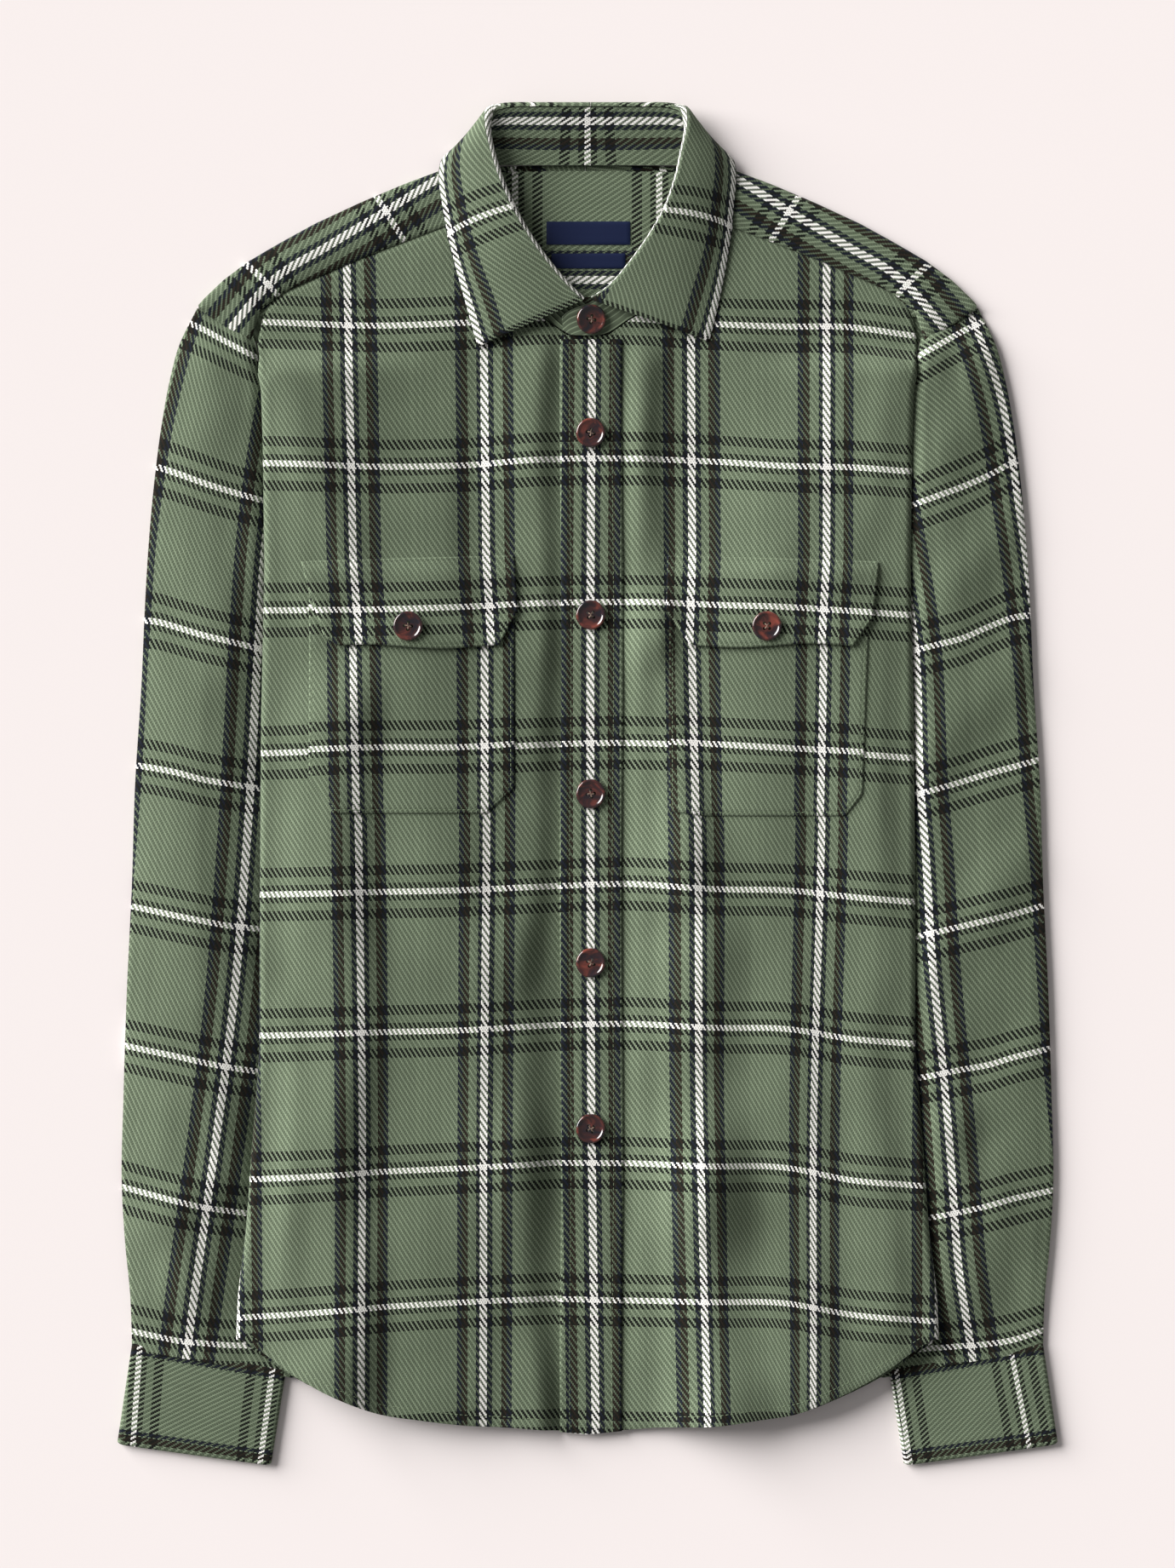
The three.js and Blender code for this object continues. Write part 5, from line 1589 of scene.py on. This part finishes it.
def sew(name, paths):
    """One piece of stitches along paths that lie on the cloth's face."""
    s = bpy.context.scene.overshirt_trims
    pitch, length, radius = s.stitch_pitch / MM, s.stitch_length / MM, s.stitch_radius / MM
    # Along the stitch, share of its width, and rise
    rings = ((-0.5, 0.35, -0.6), (-0.36, 0.95, -0.1), (0, 1, 0.12), (0.36, 0.95, -0.1),
             (0.5, 0.35, -0.6))
    sides = 6
    verts, faces = [], []
    base = 0
    quads = []
    for k in range(len(rings) - 1):
        for a in range(sides):
            b = (a + 1) % sides
            quads.append((k * sides + a, k * sides + b, (k + 1) * sides + b, (k + 1) * sides + a))
    quads = np.array(quads)
    for path in paths:
        middle, direction = walk_path(path, pitch, length)
        lateral = np.cross((0, 0, 1), direction)
        lateral = lateral / np.linalg.norm(lateral, axis=1, keepdims=True)
        up = np.cross(direction, lateral)
        for m, d, w, n in zip(middle, direction, lateral, up):
            for along, wide, drop in rings:
                for a in np.linspace(0, 2 * math.pi, sides, endpoint=False):
                    verts.append(m + d * along * length + w * radius * wide * math.cos(a)
                                 + n * radius * (wide * math.sin(a) + drop))
            faces.append(quads + base)
            base += len(rings) * sides
    piece = add_mesh(name, np.array(verts), np.concatenate(faces), sewing_thread())
    return dress(piece, "flannel")


def over_front(side, path, lift, share=1.0):
    """A path of (x, y) on a front, at the face of what lies on it; x is towards its side."""
    x, y = np.array(path, float).T
    z = front_height(side, x, y) + lift + HALF * share
    return np.stack([side * x, y, z], -1)


def dense(corners, step=2.0):
    """Points close together along straight lines between corners."""
    corners = np.array(corners, float)
    made = [corners[:1]]
    for a, b in zip(corners[:-1], corners[1:]):
        count = max(int(np.linalg.norm(b - a) / step), 1)
        made.append(a + (b - a) * np.linspace(0, 1, count + 1)[1:, None])
    return np.concatenate(made)


class SHIRT_OT_stitching(bpy.types.Operator):
    """Sew the rows of stitches that show."""

    bl_idname = "overshirt.stitching"
    bl_label = "Stitching"

    def execute(self, context):
        hems = []
        hem_end = BODY_SIDE[-1][1]
        for side, start in ((-1, 17), (1, 24)):
            x = np.linspace(start, 205, 120)
            y = hem_y(x * hem_end / (hem_end - 2.8)) + 6.5
            hems.append(over_front(side, np.stack([x, y], -1), -0.1))
        sew("stitches_hem", hems)

        rows = []
        for x in (PLACKET_LEFT + PLACKET_STITCH, PLACKET_RIGHT - PLACKET_STITCH):
            y = np.linspace(262, -402, 330)
            z = placket_height(x, y) + HALF - 0.4
            rows.append(np.stack([x + 0.5 * np.sin(y / 47), y, z], -1))
        sew("stitches_placket", rows)

        rows = []
        for p in POCKETS.values():
            (in_w, in_h), (out_w, out_h) = p["mitre_inner"], p["mitre_outer"]
            foot, inner = p["foot"] + POCKET_STITCH, p["inner"] + POCKET_STITCH
            outer = p["outer"] - POCKET_STITCH - 3
            lean = 2 if p["side"] > 0 else 0
            path = dense([(inner, 78), (inner, foot + in_h), (inner + in_w - 1, foot),
                          (outer - out_w + 1 - lean, foot), (outer - lean, foot + out_h),
                          (outer + lean, 78)])
            rows.append(over_front(p["side"], path, LAYER - 0.3))
        for f in FLAPS.values():
            y = f["top"] - 7
            path = dense([(f["inner"][0] + 2, y), (f["outer"][0] - 3, y - 4)])
            rows.append(over_front(f["side"], path, LAYER * 1.45 - 0.15))
        sew("stitches_pockets", rows)

        rows = []
        table = np.array(YOKE, float).T
        x = np.linspace(80, 200, 80)
        y = np.interp(x, table[0], table[2]) + 1.2
        for side in (-1, 1):
            rows.append(np.stack([side * x, y, np.full_like(x, YOKE_FRONT_Z + HALF + 0.45)], -1))
        sew("stitches_yoke", rows)

        rows = []
        for side in (-1, 1):
            for along in (0.1, 0.9):
                across = np.linspace(0.03, 0.97, 60)[:, None]
                outer = lerp(np.array(CUFF_TOP_OUTER), np.array(CUFF_FOOT_OUTER), along)
                inner = lerp(np.array(CUFF_TOP_INNER), np.array(CUFF_FOOT_INNER), along)
                at = lerp(outer, inner, across)
                face = CUFF_WALL + 2 * CUFF_RADIUS - 0.15
                z = face + cuff_fullness(across[:, 0], along)
                rows.append(np.stack([side * at[:, 0], at[:, 1], z], -1))
        sew("stitches_cuffs", rows)
        return {"FINISHED"}


PICTURE_WIDTH = 1380
PICTURE_HEIGHT = 1841


class SHIRT_OT_stage(bpy.types.Operator):
    """Set the floor, the lights and the camera."""

    bl_idname = "overshirt.stage"
    bl_label = "Stage"

    def execute(self, context):
        s = context.scene.overshirt_stage
        scene = context.scene
        mesh = bpy.data.meshes.new("floor")
        reach = 6.0
        mesh.from_pydata([(-reach, -reach, 0), (reach, -reach, 0), (reach, reach, 0),
                          (-reach, reach, 0)], [], [(0, 1, 2, 3)])
        mesh.materials.append(studio_paper())
        floor = bpy.data.objects.new("floor", mesh)
        scene.collection.objects.link(floor)

        world = bpy.data.worlds.new("pale_room")
        world.use_nodes = True
        sky = world.node_tree.nodes["Background"]
        sky.inputs["Color"].default_value = (1.0, 0.985, 0.97, 1.0)
        sky.inputs["Strength"].default_value = s.room_strength
        scene.world = world

        lamp = bpy.data.lights.new("key_light", "SUN")
        lamp.energy = s.key_strength
        lamp.angle = math.radians(50)
        lamp.color = (1.0, 0.985, 0.965)
        key = bpy.data.objects.new("key_light", lamp)
        aim = Vector((0.82, -0.46, -0.32))
        key.rotation_euler = aim.to_track_quat("-Z", "Y").to_euler()
        scene.collection.objects.link(key)

        eye = bpy.data.cameras.new("camera")
        eye.sensor_fit = "VERTICAL"
        eye.sensor_height = 36
        view_height = s.view_width * PICTURE_HEIGHT / PICTURE_WIDTH
        eye.lens = eye.sensor_height * s.camera_height / view_height
        eye.clip_end = 50
        camera = bpy.data.objects.new("camera", eye)
        camera.location = (0, -0.008, s.camera_height)
        scene.collection.objects.link(camera)
        scene.camera = camera
        scene.view_settings.view_transform = "Standard"
        return {"FINISHED"}


OPERATORS = (
    SHIRT_OT_back, SHIRT_OT_yoke, SHIRT_OT_fronts, SHIRT_OT_placket, SHIRT_OT_sleeves,
    SHIRT_OT_cuffs, SHIRT_OT_pockets, SHIRT_OT_collar, SHIRT_OT_buttons, SHIRT_OT_labels,
    SHIRT_OT_stitching, SHIRT_OT_stage,
)


class SHIRT_PT_overshirt(bpy.types.Panel):
    """Lists the shirt's pieces and the stage."""

    bl_label = "Flannel Overshirt"
    bl_idname = "SHIRT_PT_overshirt"
    bl_space_type = "VIEW_3D"
    bl_region_type = "UI"
    bl_category = "Overshirt"

    def draw(self, context):
        for operator in OPERATORS:
            self.layout.operator(operator.bl_idname)
        for group in (context.scene.overshirt_cloth, context.scene.overshirt_trims,
                      context.scene.overshirt_stage):
            box = self.layout.box()
            for name in group.bl_rna.properties.keys():
                if name not in ("rna_type", "name"):
                    box.prop(group, name)


GROUPS = {
    "overshirt_cloth": OvershirtCloth,
    "overshirt_trims": OvershirtTrims,
    "overshirt_stage": OvershirtStage,
}


def register():
    for name, group in GROUPS.items():
        bpy.utils.register_class(group)
        setattr(bpy.types.Scene, name, bpy.props.PointerProperty(type=group))
    for made in (*OPERATORS, SHIRT_PT_overshirt):
        bpy.utils.register_class(made)


def unregister():
    for made in (SHIRT_PT_overshirt, *reversed(OPERATORS)):
        bpy.utils.unregister_class(made)
    for name, group in GROUPS.items():
        delattr(bpy.types.Scene, name)
        bpy.utils.unregister_class(group)


def main():
    register()
    for operator in OPERATORS:
        group, action = operator.bl_idname.split(".")
        getattr(getattr(bpy.ops, group), action)()


if __name__ == "__main__":
    main()
